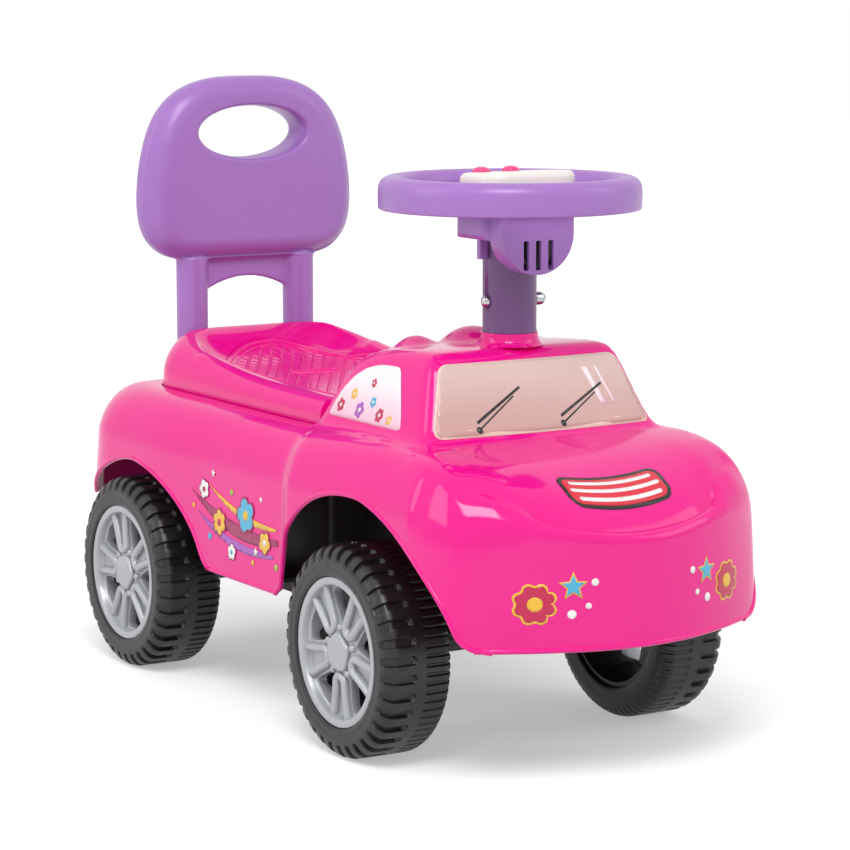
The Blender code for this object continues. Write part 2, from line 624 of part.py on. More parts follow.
def build_chassis():
    wall = CHASSIS_WALL
    top = SEAT_FOOT_Z - GAP
    tub = rounded_outline(TUB_HALF_WIDTH, TUB_FRONT_Y, SEAT_TAIL_Y - 0.008, 0.040, 4, front_radius=0.004)
    chassis = add_object("chassis", prism(tub, TUB_FLOOR_Z, top), BLACK, sharp=30)
    rim = prism(seat_outline(0.0005), top - wall, top)
    boolean(chassis, cutter("add_tub_rim", rim), "UNION")
    nose = rounded_outline(NARROW_HALF_WIDTH, CHASSIS_NOSE_Y, TUB_FRONT_Y + wall, 0.002, 2,
                           front_radius=0.020)
    boolean(chassis, cutter("add_narrow_box", prism(nose, FRONT_FLOOR_Z, NARROW_TOP_Z)), "UNION")
    wings = block((-0.1050, -0.0130, WING_Z), (0.1050, 0.0580, WING_Z + wall))
    boolean(chassis, cutter("add_wings", wings), "UNION")
    tongue = rounded_outline(0.0340, NOSE_Y + 0.012, CHASSIS_NOSE_Y + 0.012, 0.001, 2, front_radius=0.010)
    boolean(chassis, cutter("add_nose_tongue", prism(tongue, WING_Z, WING_Z + wall)), "UNION")
    foot = block((-0.0450, 0.0000, FOOT_PAD_Z), (0.0450, 0.1200, TUB_FLOOR_Z + wall / 2))
    boolean(chassis, cutter("add_foot_pad", foot), "UNION")
    room = rounded_outline(TUB_HALF_WIDTH - wall, TUB_FRONT_Y + wall, SEAT_TAIL_Y - 0.008 - wall,
                           0.040 - wall, 4, front_radius=0.002)
    boolean(chassis, cutter("cut_tub_room", prism(room, TUB_FLOOR_Z + wall, 0.20)))
    well = rounded_outline(NARROW_HALF_WIDTH - wall, CHASSIS_NOSE_Y + wall, TUB_FRONT_Y, 0.0005, 1,
                           front_radius=0.018)
    boolean(chassis, cutter("cut_narrow_room", prism(well, FRONT_FLOOR_Z + wall, 0.20)))
    bores = [turned(rod_profile(ROD_DIAMETER / 2 + BUSH_WALL + GAP, 0.078, 0.095), 16)]
    bmesh.ops.translate(bores[0], verts=bores[0].verts[:], vec=(0, COLUMN_Y, 0))
    for x, y in BOSS_PLACES:
        hole = turned(rod_profile(SCREW_RADIUS + GAP, WING_Z - 0.002, WING_Z + wall + 0.002), 8)
        bmesh.ops.translate(hole, verts=hole.verts[:], vec=(x, y, 0))
        bores.append(hole)
    for side in (-1, 1):
        hole = turned(rod_profile(SCREW_RADIUS + GAP, TUB_FLOOR_Z - 0.001, TUB_FLOOR_Z + wall + 0.001), 8)
        bmesh.ops.translate(hole, verts=hole.verts[:],
                            vec=(side * BRACKET_X, REAR_AXLE_Y + BRACKET_SCREW_SHIFT, 0))
        bores.append(hole)
    boolean(chassis, cutter("cut_chassis_bores", join(*bores)))
    for index, (x, y) in enumerate(BOSS_PLACES, 1):
        add_object(f"chassis_screw_{index}", screw(WING_Z - GAP, 0.010), STEEL, (x, y, 0))


def screw(seat_z, length):
    """A pan head screw pointing up, its head just under seat_z."""
    head = 0.0030
    return turned([(0, seat_z - 0.0018), (head - 0.0006, seat_z - 0.0018), (head, seat_z - 0.0008),
                   (head, seat_z), (SCREW_RADIUS, seat_z), (SCREW_RADIUS, seat_z + length),
                   (0, seat_z + length)], 8)


# Wheels, axles and the yoke that steers the front pair

BUSH_WALL = 0.0020
HUB_RADIUS = 0.0115
HUB_INNER_X = TYRE_INNER_X + 0.0002
DISH_DEPTH = 0.0050       # from the tyre's outer face to the spokes
RUN_GAP = 0.0003          # radial, between an axle and what turns on it
YOKE_HALF_LENGTH = 0.0700
TURNTABLE_RADIUS = 0.0450
BRACKET_X = 0.0540
BRACKET_SCREW_SHIFT = 0.0095
AXLE_TIP = 0.0034         # how far the axle ends stay inside the tyre's outer face
WHEEL_PLACES = (("front_left", 1, FRONT_AXLE_Y, 0.0), ("front_right", -1, FRONT_AXLE_Y, 0.0),
                ("rear_left", 1, REAR_AXLE_Y, 22.0), ("rear_right", -1, REAR_AXLE_Y, -22.0))


def polar_outline(points):
    return [(r * cos(a * pi / 180), r * sin(a * pi / 180)) for r, a in points]


def tyre_mesh():
    half = TYRE_WIDTH / 2
    bore = RIM_RADIUS + GAP
    crown = TYRE_RADIUS
    return turned([(bore, -half + 0.001), (crown - 0.013, -half), (crown - 0.004, -half + 0.0025),
                   (crown, -half + 0.0085), (crown, half - 0.0085), (crown - 0.004, half - 0.0025),
                   (crown - 0.013, half), (bore, half - 0.001)], TYRE_FACETS, "X", half_step=True)


def rim_mesh():
    """The wheel centre: barrel, dished face and hub. Its height is measured from mid wheel."""
    half = TYRE_WIDTH / 2
    face = half - DISH_DEPTH
    bore = AXLE_DIAMETER / 2 + RUN_GAP
    inner = HUB_INNER_X - (TYRE_OUTER_X + TYRE_INNER_X) / 2
    return turned([(bore, inner), (HUB_RADIUS, inner), (HUB_RADIUS, face - 0.0065),
                   (0.0385, face - 0.0075), (0.0425, -half + 0.003), (RIM_RADIUS, -half + 0.003),
                   (RIM_RADIUS, half - 0.0012), (0.0410, half - 0.0012), (0.0385, face - 0.0012),
                   (HUB_RADIUS, face), (bore, face)], 20, "X")


def build_wheels():
    half = TYRE_WIDTH / 2
    face = half - DISH_DEPTH
    windows = polar_outline([(0.0150, 90), (0.0215, 78), (0.0340, 73.5), (0.0375, 78), (0.0385, 90),
                             (0.0375, 102), (0.0340, 106.5), (0.0215, 102)])
    groove = [(-0.0016, -0.0165), (0.0016, -0.0165), (0.0028, -0.0345), (0.0016, -0.0370),
              (-0.0016, -0.0370), (-0.0028, -0.0345)]
    pockets = []
    for index in range(5):
        turn = Matrix.Rotation(tau * index / 5, 3, "X")
        for outline, low, high in ((windows, -0.03, 0.03), (groove, face - 0.0032, face + 0.004)):
            pocket = prism(outline, low, high, "X")
            bmesh.ops.rotate(pocket, verts=pocket.verts[:], cent=(0, 0, 0), matrix=turn)
            pockets.append(pocket)
    pocket_mesh = cutter("cut_rim_pockets", join(*pockets)).data
    bpy.data.objects.remove(bpy.data.objects["cut_rim_pockets"])
    tyre, rim = None, None
    for name, side, y, phase in WHEEL_PLACES:
        hub = bpy.data.objects.new(f"axis_{name}", None)
        hub.location = (side * (TYRE_OUTER_X + TYRE_INNER_X) / 2, y, AXLE_Z)
        hub.rotation_euler = (0, 0, 0 if side > 0 else pi)
        bpy.context.scene.collection.objects.link(hub)
        pieces = []
        tyre = add_object(f"tyre_{name}", tyre_mesh(), RUBBER, sharp=35)
        rim = add_object(f"rim_{name}", rim_mesh(), SILVER, sharp=35)
        tool = bpy.data.objects.new(f"cut_rim_{name}", pocket_mesh)
        bpy.context.scene.collection.objects.link(tool)
        tool.hide_render = True
        tool.display_type = "WIRE"
        boolean(rim, tool)
        cap = prism(polar_outline([(0.0122, 18 + 36 * k) if k % 2 == 0 else (0.0112, 18 + 36 * k)
                                   for k in range(10)]), face + GAP, half - 0.0002, "X")
        cap_piece = add_object(f"hub_cap_{name}", cap, SILVER)
        room = turned(rod_profile(0.0072, face - 0.001, half - 0.0018), 12, "X")
        cap_room = cutter(f"cut_cap_{name}", room)
        boolean(cap_piece, cap_room)
        nut = turned(tube_profile(0.0066, AXLE_DIAMETER / 2 + 0.0001, face + GAP, face + 0.0011), 12, "X")
        nut_piece = add_object(f"push_nut_{name}", nut, STEEL)
        pieces += [tyre, rim, tool, cap_piece, cap_room, nut_piece]
        for piece in pieces:
            piece.parent = hub
        for piece in (rim, tool, cap_piece):
            piece.rotation_euler = (phase * pi / 180, 0, 0)
        spacer = turned(tube_profile(0.0075, AXLE_DIAMETER / 2 + RUN_GAP, YOKE_HALF_LENGTH + GAP,
                                     HUB_INNER_X - GAP), 12, "X")
        holder = add_object(f"spacer_{name}", spacer, BLACK, (0, y, AXLE_Z))
        holder.rotation_euler = (0, 0, 0 if side > 0 else pi)
    reach = TYRE_OUTER_X - AXLE_TIP
    for name, y in (("front_axle", FRONT_AXLE_Y), ("rear_axle", REAR_AXLE_Y)):
        add_object(name, turned(rod_profile(AXLE_DIAMETER / 2, -reach, reach, 0.0006), 12, "X"), STEEL,
                   (0, y, AXLE_Z))


def build_running_gear():
    top = FRONT_FLOOR_Z - GAP
    pivot = (0, COLUMN_Y, 0)
    tube = turned(rod_profile(0.0090, -YOKE_HALF_LENGTH, YOKE_HALF_LENGTH, 0.001), 12, "X")
    yoke = add_object("front_yoke", tube, BLACK, (0, FRONT_AXLE_Y, AXLE_Z), sharp=30)
    table = turned(rod_profile(TURNTABLE_RADIUS, top - 0.0040, top, 0.0008), 28)
    boolean(yoke, cutter("add_turntable", table, pivot), "UNION")
    post = block((-0.0240, -0.0110, AXLE_Z + 0.0013), (0.0240, 0.0137, top - 0.001))
    boolean(yoke, cutter("add_yoke_post", post, pivot), "UNION")
    for side in (-1, 1):
        gusset = prism([(side * 0.018, AXLE_Z + 0.0031), (side * 0.060, AXLE_Z + 0.0031), (side * 0.040, top - 0.0025),
                        (side * 0.018, top - 0.0025)], 0.0012, 0.0048, "Y")
        boolean(yoke, cutter(f"add_gusset_{side}", gusset, pivot), "UNION")
    rod_foot = AXLE_Z + AXLE_DIAMETER / 2 + 0.0020
    socket = turned(rod_profile(ROD_DIAMETER / 2 + GAP, rod_foot - GAP, top + 0.01), 16)
    boolean(yoke, cutter("cut_rod_socket", socket, pivot))
    axle_room = turned(rod_profile(AXLE_DIAMETER / 2 + RUN_GAP, -0.08, 0.08), 12, "X")
    boolean(yoke, cutter("cut_yoke_bore", axle_room, (0, FRONT_AXLE_Y, AXLE_Z)))
    add_object("steering_rod", turned(rod_profile(ROD_DIAMETER / 2, rod_foot, ROD_TOP_Z), 16), STEEL, pivot)
    bush = turned([(ROD_DIAMETER / 2 + RUN_GAP, FRONT_FLOOR_Z), (ROD_DIAMETER / 2 + BUSH_WALL, FRONT_FLOOR_Z),
                   (ROD_DIAMETER / 2 + BUSH_WALL, FRONT_FLOOR_Z + CHASSIS_WALL + GAP),
                   (0.0120, FRONT_FLOOR_Z + CHASSIS_WALL + GAP), (0.0120, FRONT_FLOOR_Z + 0.0060),
                   (ROD_DIAMETER / 2 + RUN_GAP, FRONT_FLOOR_Z + 0.0060)], 16)
    add_object("floor_bush", bush, CREAM, pivot)
    for name, side in (("left", 1), ("right", -1)):
        low, high = TUB_FLOOR_Z - GAP - 0.0150, TUB_FLOOR_Z - GAP
        saddle = block((-0.0080, -0.0130, low), (0.0080, 0.0130, high), 0.0015)
        bracket = add_object(f"rear_axle_bracket_{name}", saddle, BLACK, (side * BRACKET_X, REAR_AXLE_Y, 0))
        axle_room = turned(rod_profile(AXLE_DIAMETER / 2 + RUN_GAP, -0.02, 0.02), 12, "X")
        boolean(bracket, cutter(f"cut_bracket_{name}", axle_room, (side * BRACKET_X, REAR_AXLE_Y, AXLE_Z)))
        hole = turned(rod_profile(SCREW_RADIUS + GAP, low - 0.001, high + 0.001), 8)
        place = (side * BRACKET_X, REAR_AXLE_Y + BRACKET_SCREW_SHIFT, 0)
        boolean(bracket, cutter(f"cut_bracket_hole_{name}", hole, place))
        add_object(f"rear_bracket_screw_{name}", screw(low - GAP, 0.0165), STEEL, place)


# Steering column, wheel and the music box under its pad

ROD_TOP_Z = 0.2950
BOX_FLOOR_Z = 0.3080
BOX_HALF_WIDTH = 0.0295
BOX_HALF_DEPTH = 0.0185
BOX_WALL = 0.0020
BOX_CORNER = 0.0080
GRILLE_HALF_WIDTH = 0.0254
GRILLE_BOTTOM_Z = 0.2878
GRILLE_KNEE_Z = 0.3120
GRILLE_FRONT_Y = -0.0315   # from the column's axis, as the next ones
GRILLE_DEPTH = 0.0145
HUB_Y = -0.0080
HUB_HALF_WIDTH = 0.0350
HUB_HALF_DEPTH = 0.0275
HUB_HEIGHT = 0.0140
PAD_HALF_WIDTH = 0.0335
PAD_HALF_DEPTH = 0.0235
PAD_TOP_Z = 0.3475
BOARD_HALF_WIDTH = 0.0280
BOARD_THICKNESS = 0.0013
BOLT_Z = 0.2701
BUTTON_RADIUS = 0.0054
BUTTON_TRAVEL = 0.0020
BUTTONS = (("melody_button", -0.0175, 0.0050), ("horn_button", 0.0038, 0.0050))


def grille_outline(inset=0.0):
    """The box front seen from ahead: straight top, round bottom, as (x, z)."""
    half, low = GRILLE_HALF_WIDTH - inset, GRILLE_BOTTOM_Z + inset
    top = STEERING_WHEEL_Z - GAP
    knee = GRILLE_KNEE_Z
    points = [(half, top), (-half, top)]
    for step in range(9):
        angle = pi + pi * step / 8
        points.append((half * cos(angle), knee + (knee - low) * sin(angle)))
    return points


def build_steering():
    pivot = (0, COLUMN_Y, 0)
    collar = turned([(ROD_DIAMETER / 2 + RUN_GAP, 0.2360), (COLLAR_SPIGOT_RADIUS, 0.2360),
                     (COLLAR_SPIGOT_RADIUS, ROOF_Z + GAP), (0.0208, ROOF_Z + GAP), (0.0185, COLLAR_TOP_Z),
                     (ROD_DIAMETER / 2 + RUN_GAP, COLLAR_TOP_Z)], 24)
    add_object("column_collar", collar, PINK, pivot)
    outer = COLUMN_DIAMETER / 2
    column = add_object("steering_column",
                        turned(tube_profile(outer, ROD_DIAMETER / 2 + GAP, COLLAR_TOP_Z + GAP,
                                            BOX_FLOOR_Z - GAP), 24), PURPLE, pivot)
    bolt_room = turned(rod_profile(0.0020 + GAP, -0.03, 0.03), 10, "X")
    bolt_bore = cutter("cut_bolt_bore", bolt_room, (0, COLUMN_Y, BOLT_Z))
    boolean(column, bolt_bore)
    boolean(bpy.data.objects["steering_rod"], bolt_bore)
    head = outer + GAP
    bolt = turned([(0, -head), (0.0020, -head), (0.0020, head), (0.0038, head), (0.0036, head + 0.0016),
                   (0.0020, head + 0.0029), (0, head + 0.0032)], 10, "X")
    add_object("column_bolt", bolt, STEEL, (0, COLUMN_Y, BOLT_Z)).rotation_euler = (0, 0, pi)
    nut = turned([(0, head + GAP), (0.0042, head + GAP), (0.0042, head + 0.0060), (0.0026, head + 0.0085),
                  (0, head + 0.0092)], 10, "X")
    add_object("column_nut", nut, STEEL, (0, COLUMN_Y, BOLT_Z))
    build_grip(pivot)
    build_music_box(pivot)


def build_grip(pivot):
    """The steering wheel: a flat-bottomed ring, three spokes and the hub's rim."""
    low, high = STEERING_WHEEL_Z, STEERING_WHEEL_Z + STEERING_GRIP_HEIGHT
    out, grip = STEERING_WHEEL_RADIUS, STEERING_GRIP_WIDTH
    ring = turned([(out - grip, low), (out - 0.001, low), (out, low + 0.002), (out, high - 0.0075),
                   (out - 0.0035, high - 0.002), (out - grip / 2, high), (out - grip + 0.0025, high - 0.003),
                   (out - grip, high - 0.008)], 36)
    wheel = add_object("steering_wheel", ring, PURPLE, pivot, sharp=50)
    hub = prism(rounded_outline(HUB_HALF_WIDTH, HUB_Y - HUB_HALF_DEPTH, HUB_Y + HUB_HALF_DEPTH, 0.016, 4),
                low, low + HUB_HEIGHT)
    boolean(wheel, cutter("add_hub", hub, pivot), "UNION")
    for index, angle in enumerate((0, 180, 90)):
        spoke = block((0.020, -0.0125, low + 0.001), (out - grip / 2, 0.0125, low + 0.009), 0.002)
        bmesh.ops.rotate(spoke, verts=spoke.verts[:], cent=(0, 0, 0),
                         matrix=Matrix.Rotation(angle * pi / 180, 3, "Z"))
        boolean(wheel, cutter(f"add_spoke_{index}", spoke, pivot), "UNION")
    room = rounded_outline(BOARD_HALF_WIDTH + GAP, HUB_Y - HUB_HALF_DEPTH + 0.008,
                           BOX_HALF_DEPTH - BOX_WALL + 0.0008, 0.006, 3)
    boolean(wheel, cutter("cut_hub_room", prism(room, low - 0.01, high + 0.01), pivot))


def build_music_box(pivot):
    top = STEERING_WHEEL_Z - GAP
    shape = rounded_outline(BOX_HALF_WIDTH, -BOX_HALF_DEPTH, BOX_HALF_DEPTH, BOX_CORNER, 4)
    box = add_object("music_box", prism(shape, BOX_FLOOR_Z, top), PURPLE, pivot, sharp=40)
    front, back = GRILLE_FRONT_Y, GRILLE_FRONT_Y + GRILLE_DEPTH
    for side in (-1, 1):
        low_x, high_x = sorted((side * (COLUMN_DIAMETER / 2 + 0.0005), side * 0.0240))
        tab = block((low_x, -0.0040, 0.2960), (high_x, 0.0040, BOX_FLOOR_Z + BOX_WALL / 2))
        boolean(box, cutter(f"add_box_tab_{side}", tab, pivot), "UNION")
    boolean(box, cutter("add_grille_box", prism(grille_outline(), front, back, "Y"), pivot), "UNION")
    room = rounded_outline(BOX_HALF_WIDTH - BOX_WALL, -BOX_HALF_DEPTH + BOX_WALL,
                           BOX_HALF_DEPTH - BOX_WALL, BOX_CORNER - BOX_WALL, 3)
    boolean(box, cutter("cut_box_room", prism(room, BOX_FLOOR_Z + BOX_WALL, top + 0.01), pivot))
    inner = [(x, z + 0.004 if z > GRILLE_KNEE_Z + 0.001 else z) for x, z in grille_outline(BOX_WALL)]
    boolean(box, cutter("cut_grille_room", prism(inner, front + BOX_WALL, back - BOX_WALL, "Y"), pivot))
    slots = [block((x - 0.0016, front - 0.002, 0.2908), (x + 0.0016, front + 0.004, 0.3085))
             for x in (-0.0088, 0.0, 0.0088)]
    boolean(box, cutter("cut_grille_slots", join(*slots), pivot))
    speaker = turned([(0, 0.0034), (0.0060, 0.0034), (0.0105, 0.0), (0.0120, 0.0), (0.0120, 0.0012),
                      (0.0070, 0.0062), (0, 0.0062)], 16, "Y")
    add_object("speaker", speaker, BLACK, (0, COLUMN_Y + front + BOX_WALL + GAP, 0.3035))
    board_low = top + GAP
    board_shape = rounded_outline(BOARD_HALF_WIDTH, GRILLE_FRONT_Y + GRILLE_DEPTH,
                                  BOX_HALF_DEPTH - BOX_WALL + 0.0005, 0.0062, 3)
    board = add_object("circuit_board", prism(board_shape, board_low, board_low + BOARD_THICKNESS), BOARD,
                       pivot)
    for index, y in enumerate((-0.0075, 0.0085), 1):
        cell = turned(rod_profile(0.0052, -0.0220, 0.0220, 0.0006), 12, "X")
        add_object(f"battery_{index}", cell, CELL, (0, COLUMN_Y + y, BOX_FLOOR_Z + BOX_WALL + GAP + 0.0052))
    pad_low = STEERING_WHEEL_Z + HUB_HEIGHT + GAP
    pad_shape = rounded_outline(PAD_HALF_WIDTH, HUB_Y - PAD_HALF_DEPTH, HUB_Y + PAD_HALF_DEPTH, 0.016, 4)
    pad_mesh = prism(pad_shape, pad_low, PAD_TOP_Z)
    crown = [e for e in pad_mesh.edges if all(v.co.z > PAD_TOP_Z - 1e-5 for v in e.verts)]
    bmesh.ops.bevel(pad_mesh, geom=crown, offset=0.0040, segments=2, affect="EDGES", profile=0.5)
    pad = add_object("horn_pad", pad_mesh, CREAM, pivot, sharp=50)
    pad_room = rounded_outline(BOARD_HALF_WIDTH, HUB_Y - PAD_HALF_DEPTH + 0.0045,
                               HUB_Y + PAD_HALF_DEPTH - 0.0022, 0.008, 3)
    boolean(pad, cutter("cut_pad_room", prism(pad_room, pad_low - 0.01, PAD_TOP_Z - 0.0026), pivot))
    for name, x, y in BUTTONS:
        place = (x, COLUMN_Y + y, PAD_TOP_Z)
        bore = turned(rod_profile(BUTTON_RADIUS + GAP, -0.01, 0.01), 16)
        boolean(pad, cutter(f"cut_{name}", bore, place))
        skirt = BUTTON_RADIUS + 0.0012
        cap = turned([(0, -0.0045), (skirt, -0.0045), (skirt, -0.0029), (BUTTON_RADIUS, -0.0029),
                      (BUTTON_RADIUS, 0.0022), (BUTTON_RADIUS * 0.75, 0.0046), (0, 0.0056)], 16)
        add_object(name, cap, BUTTON, place)
        low = PAD_TOP_Z - 0.0045 - BUTTON_TRAVEL - GAP
        switch = turned(rod_profile(0.0022, board_low + BOARD_THICKNESS / 2, low), 8)
        boolean(board, cutter(f"add_switch_{name}", switch, (x, COLUMN_Y + y, 0)), "UNION")


# Backrest: a hollow-looking cushion shape with a hand hole, two posts and a web

BACK_HALF_WIDTHS = ((0.2700, 0.0520), (0.2735, 0.0640), (0.2810, 0.0735), (0.2900, 0.0798),
                    (0.3030, 0.0825), (0.3200, 0.0826), (0.3400, 0.0800), (0.3580, 0.0752),
                    (0.3730, 0.0684), (0.3840, 0.0585), (0.3915, 0.0475), (0.3955, 0.0350),
                    (0.3970, 0.0180))


def back_outline():
    """The backrest from the front, widest low down and rounder at the top, as (x, z)."""
    right = [(half, z) for z, half in BACK_HALF_WIDTHS]
    return right + [(-half, z) for half, z in reversed(right)]


def build_backrest():
    outline = back_outline()
    mesh = prism(outline, -BACK_DEPTH / 2, BACK_DEPTH / 2, "Y")
    caps = [face for face in mesh.faces if len(face.verts) > 4]
    rims = [edge for face in caps for edge in face.edges]
    bmesh.ops.bevel(mesh, geom=rims, offset=0.0125, segments=3, affect="EDGES", profile=0.5)
    back = add_object("backrest", mesh, PURPLE, (0, BACK_Y, 0), sharp=60)
    for side in (-1, 1):
        post = turned(rod_profile(POST_DIAMETER / 2, POST_FOOT_Z, BACK_BOTTOM_Z + 0.02), 16)
        place = (side * POST_SPACING / 2, BACK_Y, 0)
        boolean(back, cutter(f"add_post_{side}", post, place), "UNION")
    arch = [(POST_SPACING / 2 - 0.004, BACK_BOTTOM_Z + 0.01), (-POST_SPACING / 2 + 0.004, BACK_BOTTOM_Z + 0.01)]
    reach = POST_SPACING / 2 - 0.004
    for step in range(9):
        x = -reach + 2 * reach * step / 8
        arch.append((x, WEB_FOOT_Z + (WEB_TOP_Z - WEB_FOOT_Z) * (1 - (x / reach) ** 2)))
    boolean(back, cutter("add_web", prism(arch, -0.002, 0.002, "Y"), (0, BACK_Y, 0)), "UNION")
    hole = [(HAND_HALF_WIDTH * cos(tau * k / 16), HAND_Z + HAND_HALF_HEIGHT * sin(tau * k / 16))
            for k in range(16)]
    boolean(back, cutter("cut_hand_hole", prism(hole, -0.05, 0.05, "Y"), (0, BACK_Y, 0)))


POST_FOOT_Z = 0.1860
WEB_FOOT_Z = 0.2480
WEB_TOP_Z = 0.2570
HAND_HALF_WIDTH = 0.0420
HAND_HALF_HEIGHT = 0.0185
HAND_Z = 0.3585


STEERED = ("front_yoke", "front_axle", "spacer_front_left", "spacer_front_right", "steering_rod",
           "steering_column", "column_bolt", "column_nut", "steering_wheel", "horn_pad", "music_box",
           "speaker", "circuit_board", "battery_1", "battery_2", "melody_button", "horn_button",
           "axis_front_left", "axis_front_right")


def hang_on_steering_axis():
    """Parent everything that turns with the column to an empty on its axis."""
    axis = bpy.data.objects.new("steering_axis", None)
    axis.location = (0, COLUMN_Y, 0)
    bpy.context.scene.collection.objects.link(axis)
    for name in STEERED:
        piece = bpy.data.objects[name]
        piece.parent = axis
        piece.location -= axis.location


def build_all():
    clear_scene()
    build_body_shell()
    build_films()
    build_seat()
    build_chassis()
    build_wheels()
    build_running_gear()
    build_steering()
    build_backrest()
    hang_on_steering_axis()


build_all()
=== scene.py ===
"""Kids ride-on car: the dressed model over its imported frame.

Lengths are metres in the part's own frame: +X to one side, -Y to the nose, +Z up. The moulded forms
follow the same driving sizes as the frame, at a finer pitch. Patterns are sized in millimetres.
"""
from __future__ import annotations

import json
import logging
from dataclasses import dataclass, field
from enum import Enum
from math import cos, exp, pi, radians, sin, sqrt, tau
from typing import Callable, Iterable, Sequence

import bmesh
import bpy
from mathutils import Matrix, Vector
from mathutils.bvhtree import BVHTree

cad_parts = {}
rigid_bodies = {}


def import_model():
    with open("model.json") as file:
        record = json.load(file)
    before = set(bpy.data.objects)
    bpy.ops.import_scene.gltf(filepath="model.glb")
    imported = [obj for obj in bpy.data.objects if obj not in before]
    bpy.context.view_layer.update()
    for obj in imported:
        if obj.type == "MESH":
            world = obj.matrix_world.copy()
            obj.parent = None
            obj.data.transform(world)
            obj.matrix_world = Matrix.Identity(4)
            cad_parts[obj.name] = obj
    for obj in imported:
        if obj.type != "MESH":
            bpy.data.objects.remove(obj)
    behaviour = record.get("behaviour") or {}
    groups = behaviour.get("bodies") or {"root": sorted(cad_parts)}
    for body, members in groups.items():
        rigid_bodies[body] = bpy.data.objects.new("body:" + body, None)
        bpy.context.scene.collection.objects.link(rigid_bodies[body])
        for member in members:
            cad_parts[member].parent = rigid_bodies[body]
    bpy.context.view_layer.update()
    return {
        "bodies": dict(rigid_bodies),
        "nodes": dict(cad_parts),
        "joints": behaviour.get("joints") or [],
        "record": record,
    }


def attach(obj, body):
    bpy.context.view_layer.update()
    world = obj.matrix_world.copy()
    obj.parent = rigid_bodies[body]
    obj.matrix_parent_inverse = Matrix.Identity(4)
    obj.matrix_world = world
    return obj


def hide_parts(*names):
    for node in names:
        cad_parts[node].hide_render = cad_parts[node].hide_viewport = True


log = logging.getLogger("ride_on_car")

Point2 = tuple[float, float]
Ring = Callable[[Vector, Point2], Vector]

MM = 0.001
GAP = 0.3 * MM


class Side(Enum):
    """Which side of the car a paired piece belongs to, by the sign of its X."""

    LEFT = 1
    RIGHT = -1


class Axis(Enum):
    """The axis a profile is extruded or turned about."""

    X = "X"
    Y = "Y"
    Z = "Z"


# Colour and node helpers

def linear(hex_colour: str) -> tuple[float, float, float, float]:
    """Turn an sRGB hex colour into linear RGBA.

    Args:
        hex_colour: six hex digits after a hash sign.

    Returns:
        Linear red, green, blue and an alpha of 1.
    """
    values = [int(hex_colour[i:i + 2], 16) / 255 for i in (1, 3, 5)]
    red, green, blue = (v / 12.92 if v <= 0.04045 else ((v + 0.055) / 1.055) ** 2.4 for v in values)
    return red, green, blue, 1.0


def add_node(tree: bpy.types.NodeTree, kind: str, settings: dict | None = None,
             inputs: dict | None = None) -> bpy.types.Node:
    """Add a node with its settings, and fill or link its inputs.

    Args:
        tree: the node tree to add to.
        kind: the node's type name.
        settings: attribute values set on the node.
        inputs: input name or index to a value, or to a (node, output name) pair to link from.

    Returns:
        The new node.
    """
    node = tree.nodes.new(kind)
    for name, value in (settings or {}).items():
        setattr(node, name, value)
    for name, value in (inputs or {}).items():
        if isinstance(value, tuple) and len(value) == 2 and isinstance(value[0], bpy.types.Node):
            tree.links.new(value[0].outputs[value[1]], node.inputs[name])
        else:
            node.inputs[name].default_value = value
    return node


@dataclass(frozen=True)
class Finish:
    """A moulded or rolled surface: its colour with a little variation, its gloss and fine relief.

    mottle_mm is the size of the slow colour variation, grain_mm that of the fine relief and
    relief_mm the relief's height. slot names the record's material slot.
    """

    name: str
    slot: str
    colour: str
    shade: str
    roughness: float
    metallic: float = 0.0
    ior: float = 1.5
    coat: float = 0.0
    mottle_mm: float = 40.0
    grain_mm: float = 1.2
    relief_mm: float = 0.02
    roughness_spread: float = 0.05

    def material(self) -> bpy.types.Material:
        """Build the finish's material once, and return it each time after.

        Returns:
            The finish's material.
        """
        found = bpy.data.materials.get(self.name)
        if found:
            return found
        made = bpy.data.materials.new(self.name)
        made.use_nodes = True
        tree = made.node_tree
        shader = tree.nodes["Principled BSDF"]
        shader.inputs["Metallic"].default_value = self.metallic
        shader.inputs["IOR"].default_value = self.ior
        shader.inputs["Coat Weight"].default_value = self.coat
        shader.inputs["Coat Roughness"].default_value = 0.06
        place = add_node(tree, "ShaderNodeTexCoord")
        slow = add_node(tree, "ShaderNodeTexNoise", None,
                        {"Vector": (place, "Object"), "Scale": 1 / (self.mottle_mm * MM), "Detail": 3.0})
        mixed = add_node(tree, "ShaderNodeMix", {"data_type": "RGBA"},
                         {"Factor": (slow, "Fac"), 6: linear(self.colour), 7: linear(self.shade)})
        self.tint(tree, place, shader, mixed)
        fine = add_node(tree, "ShaderNodeTexNoise", None,
                        {"Vector": (place, "Object"), "Scale": 1 / (self.grain_mm * MM), "Detail": 2.0})
        gloss = add_node(tree, "ShaderNodeMapRange", None,
                         {"Value": (slow, "Fac"), "From Min": 0.3, "From Max": 0.7,
                          "To Min": self.roughness - self.roughness_spread / 2,
                          "To Max": self.roughness + self.roughness_spread / 2})
        tree.links.new(gloss.outputs["Result"], shader.inputs["Roughness"])
        bump = add_node(tree, "ShaderNodeBump", None,
                        {"Height": (fine, "Fac"), "Distance": self.relief_mm * MM, "Strength": 0.6})
        self.relief(tree, place, bump, shader)
        return made

    def tint(self, tree: bpy.types.NodeTree, place: bpy.types.Node, shader: bpy.types.Node,
             mixed: bpy.types.Node) -> None:
        """Link the mixed colour to the shader; finishes with a pattern override this."""
        tree.links.new(mixed.outputs[2], shader.inputs["Base Color"])

    def relief(self, tree: bpy.types.NodeTree, place: bpy.types.Node, bump: bpy.types.Node,
               shader: bpy.types.Node) -> None:
        """Link the fine bump to the shader; finishes with a moulded pattern override this."""
        tree.links.new(bump.outputs["Normal"], shader.inputs["Normal"])


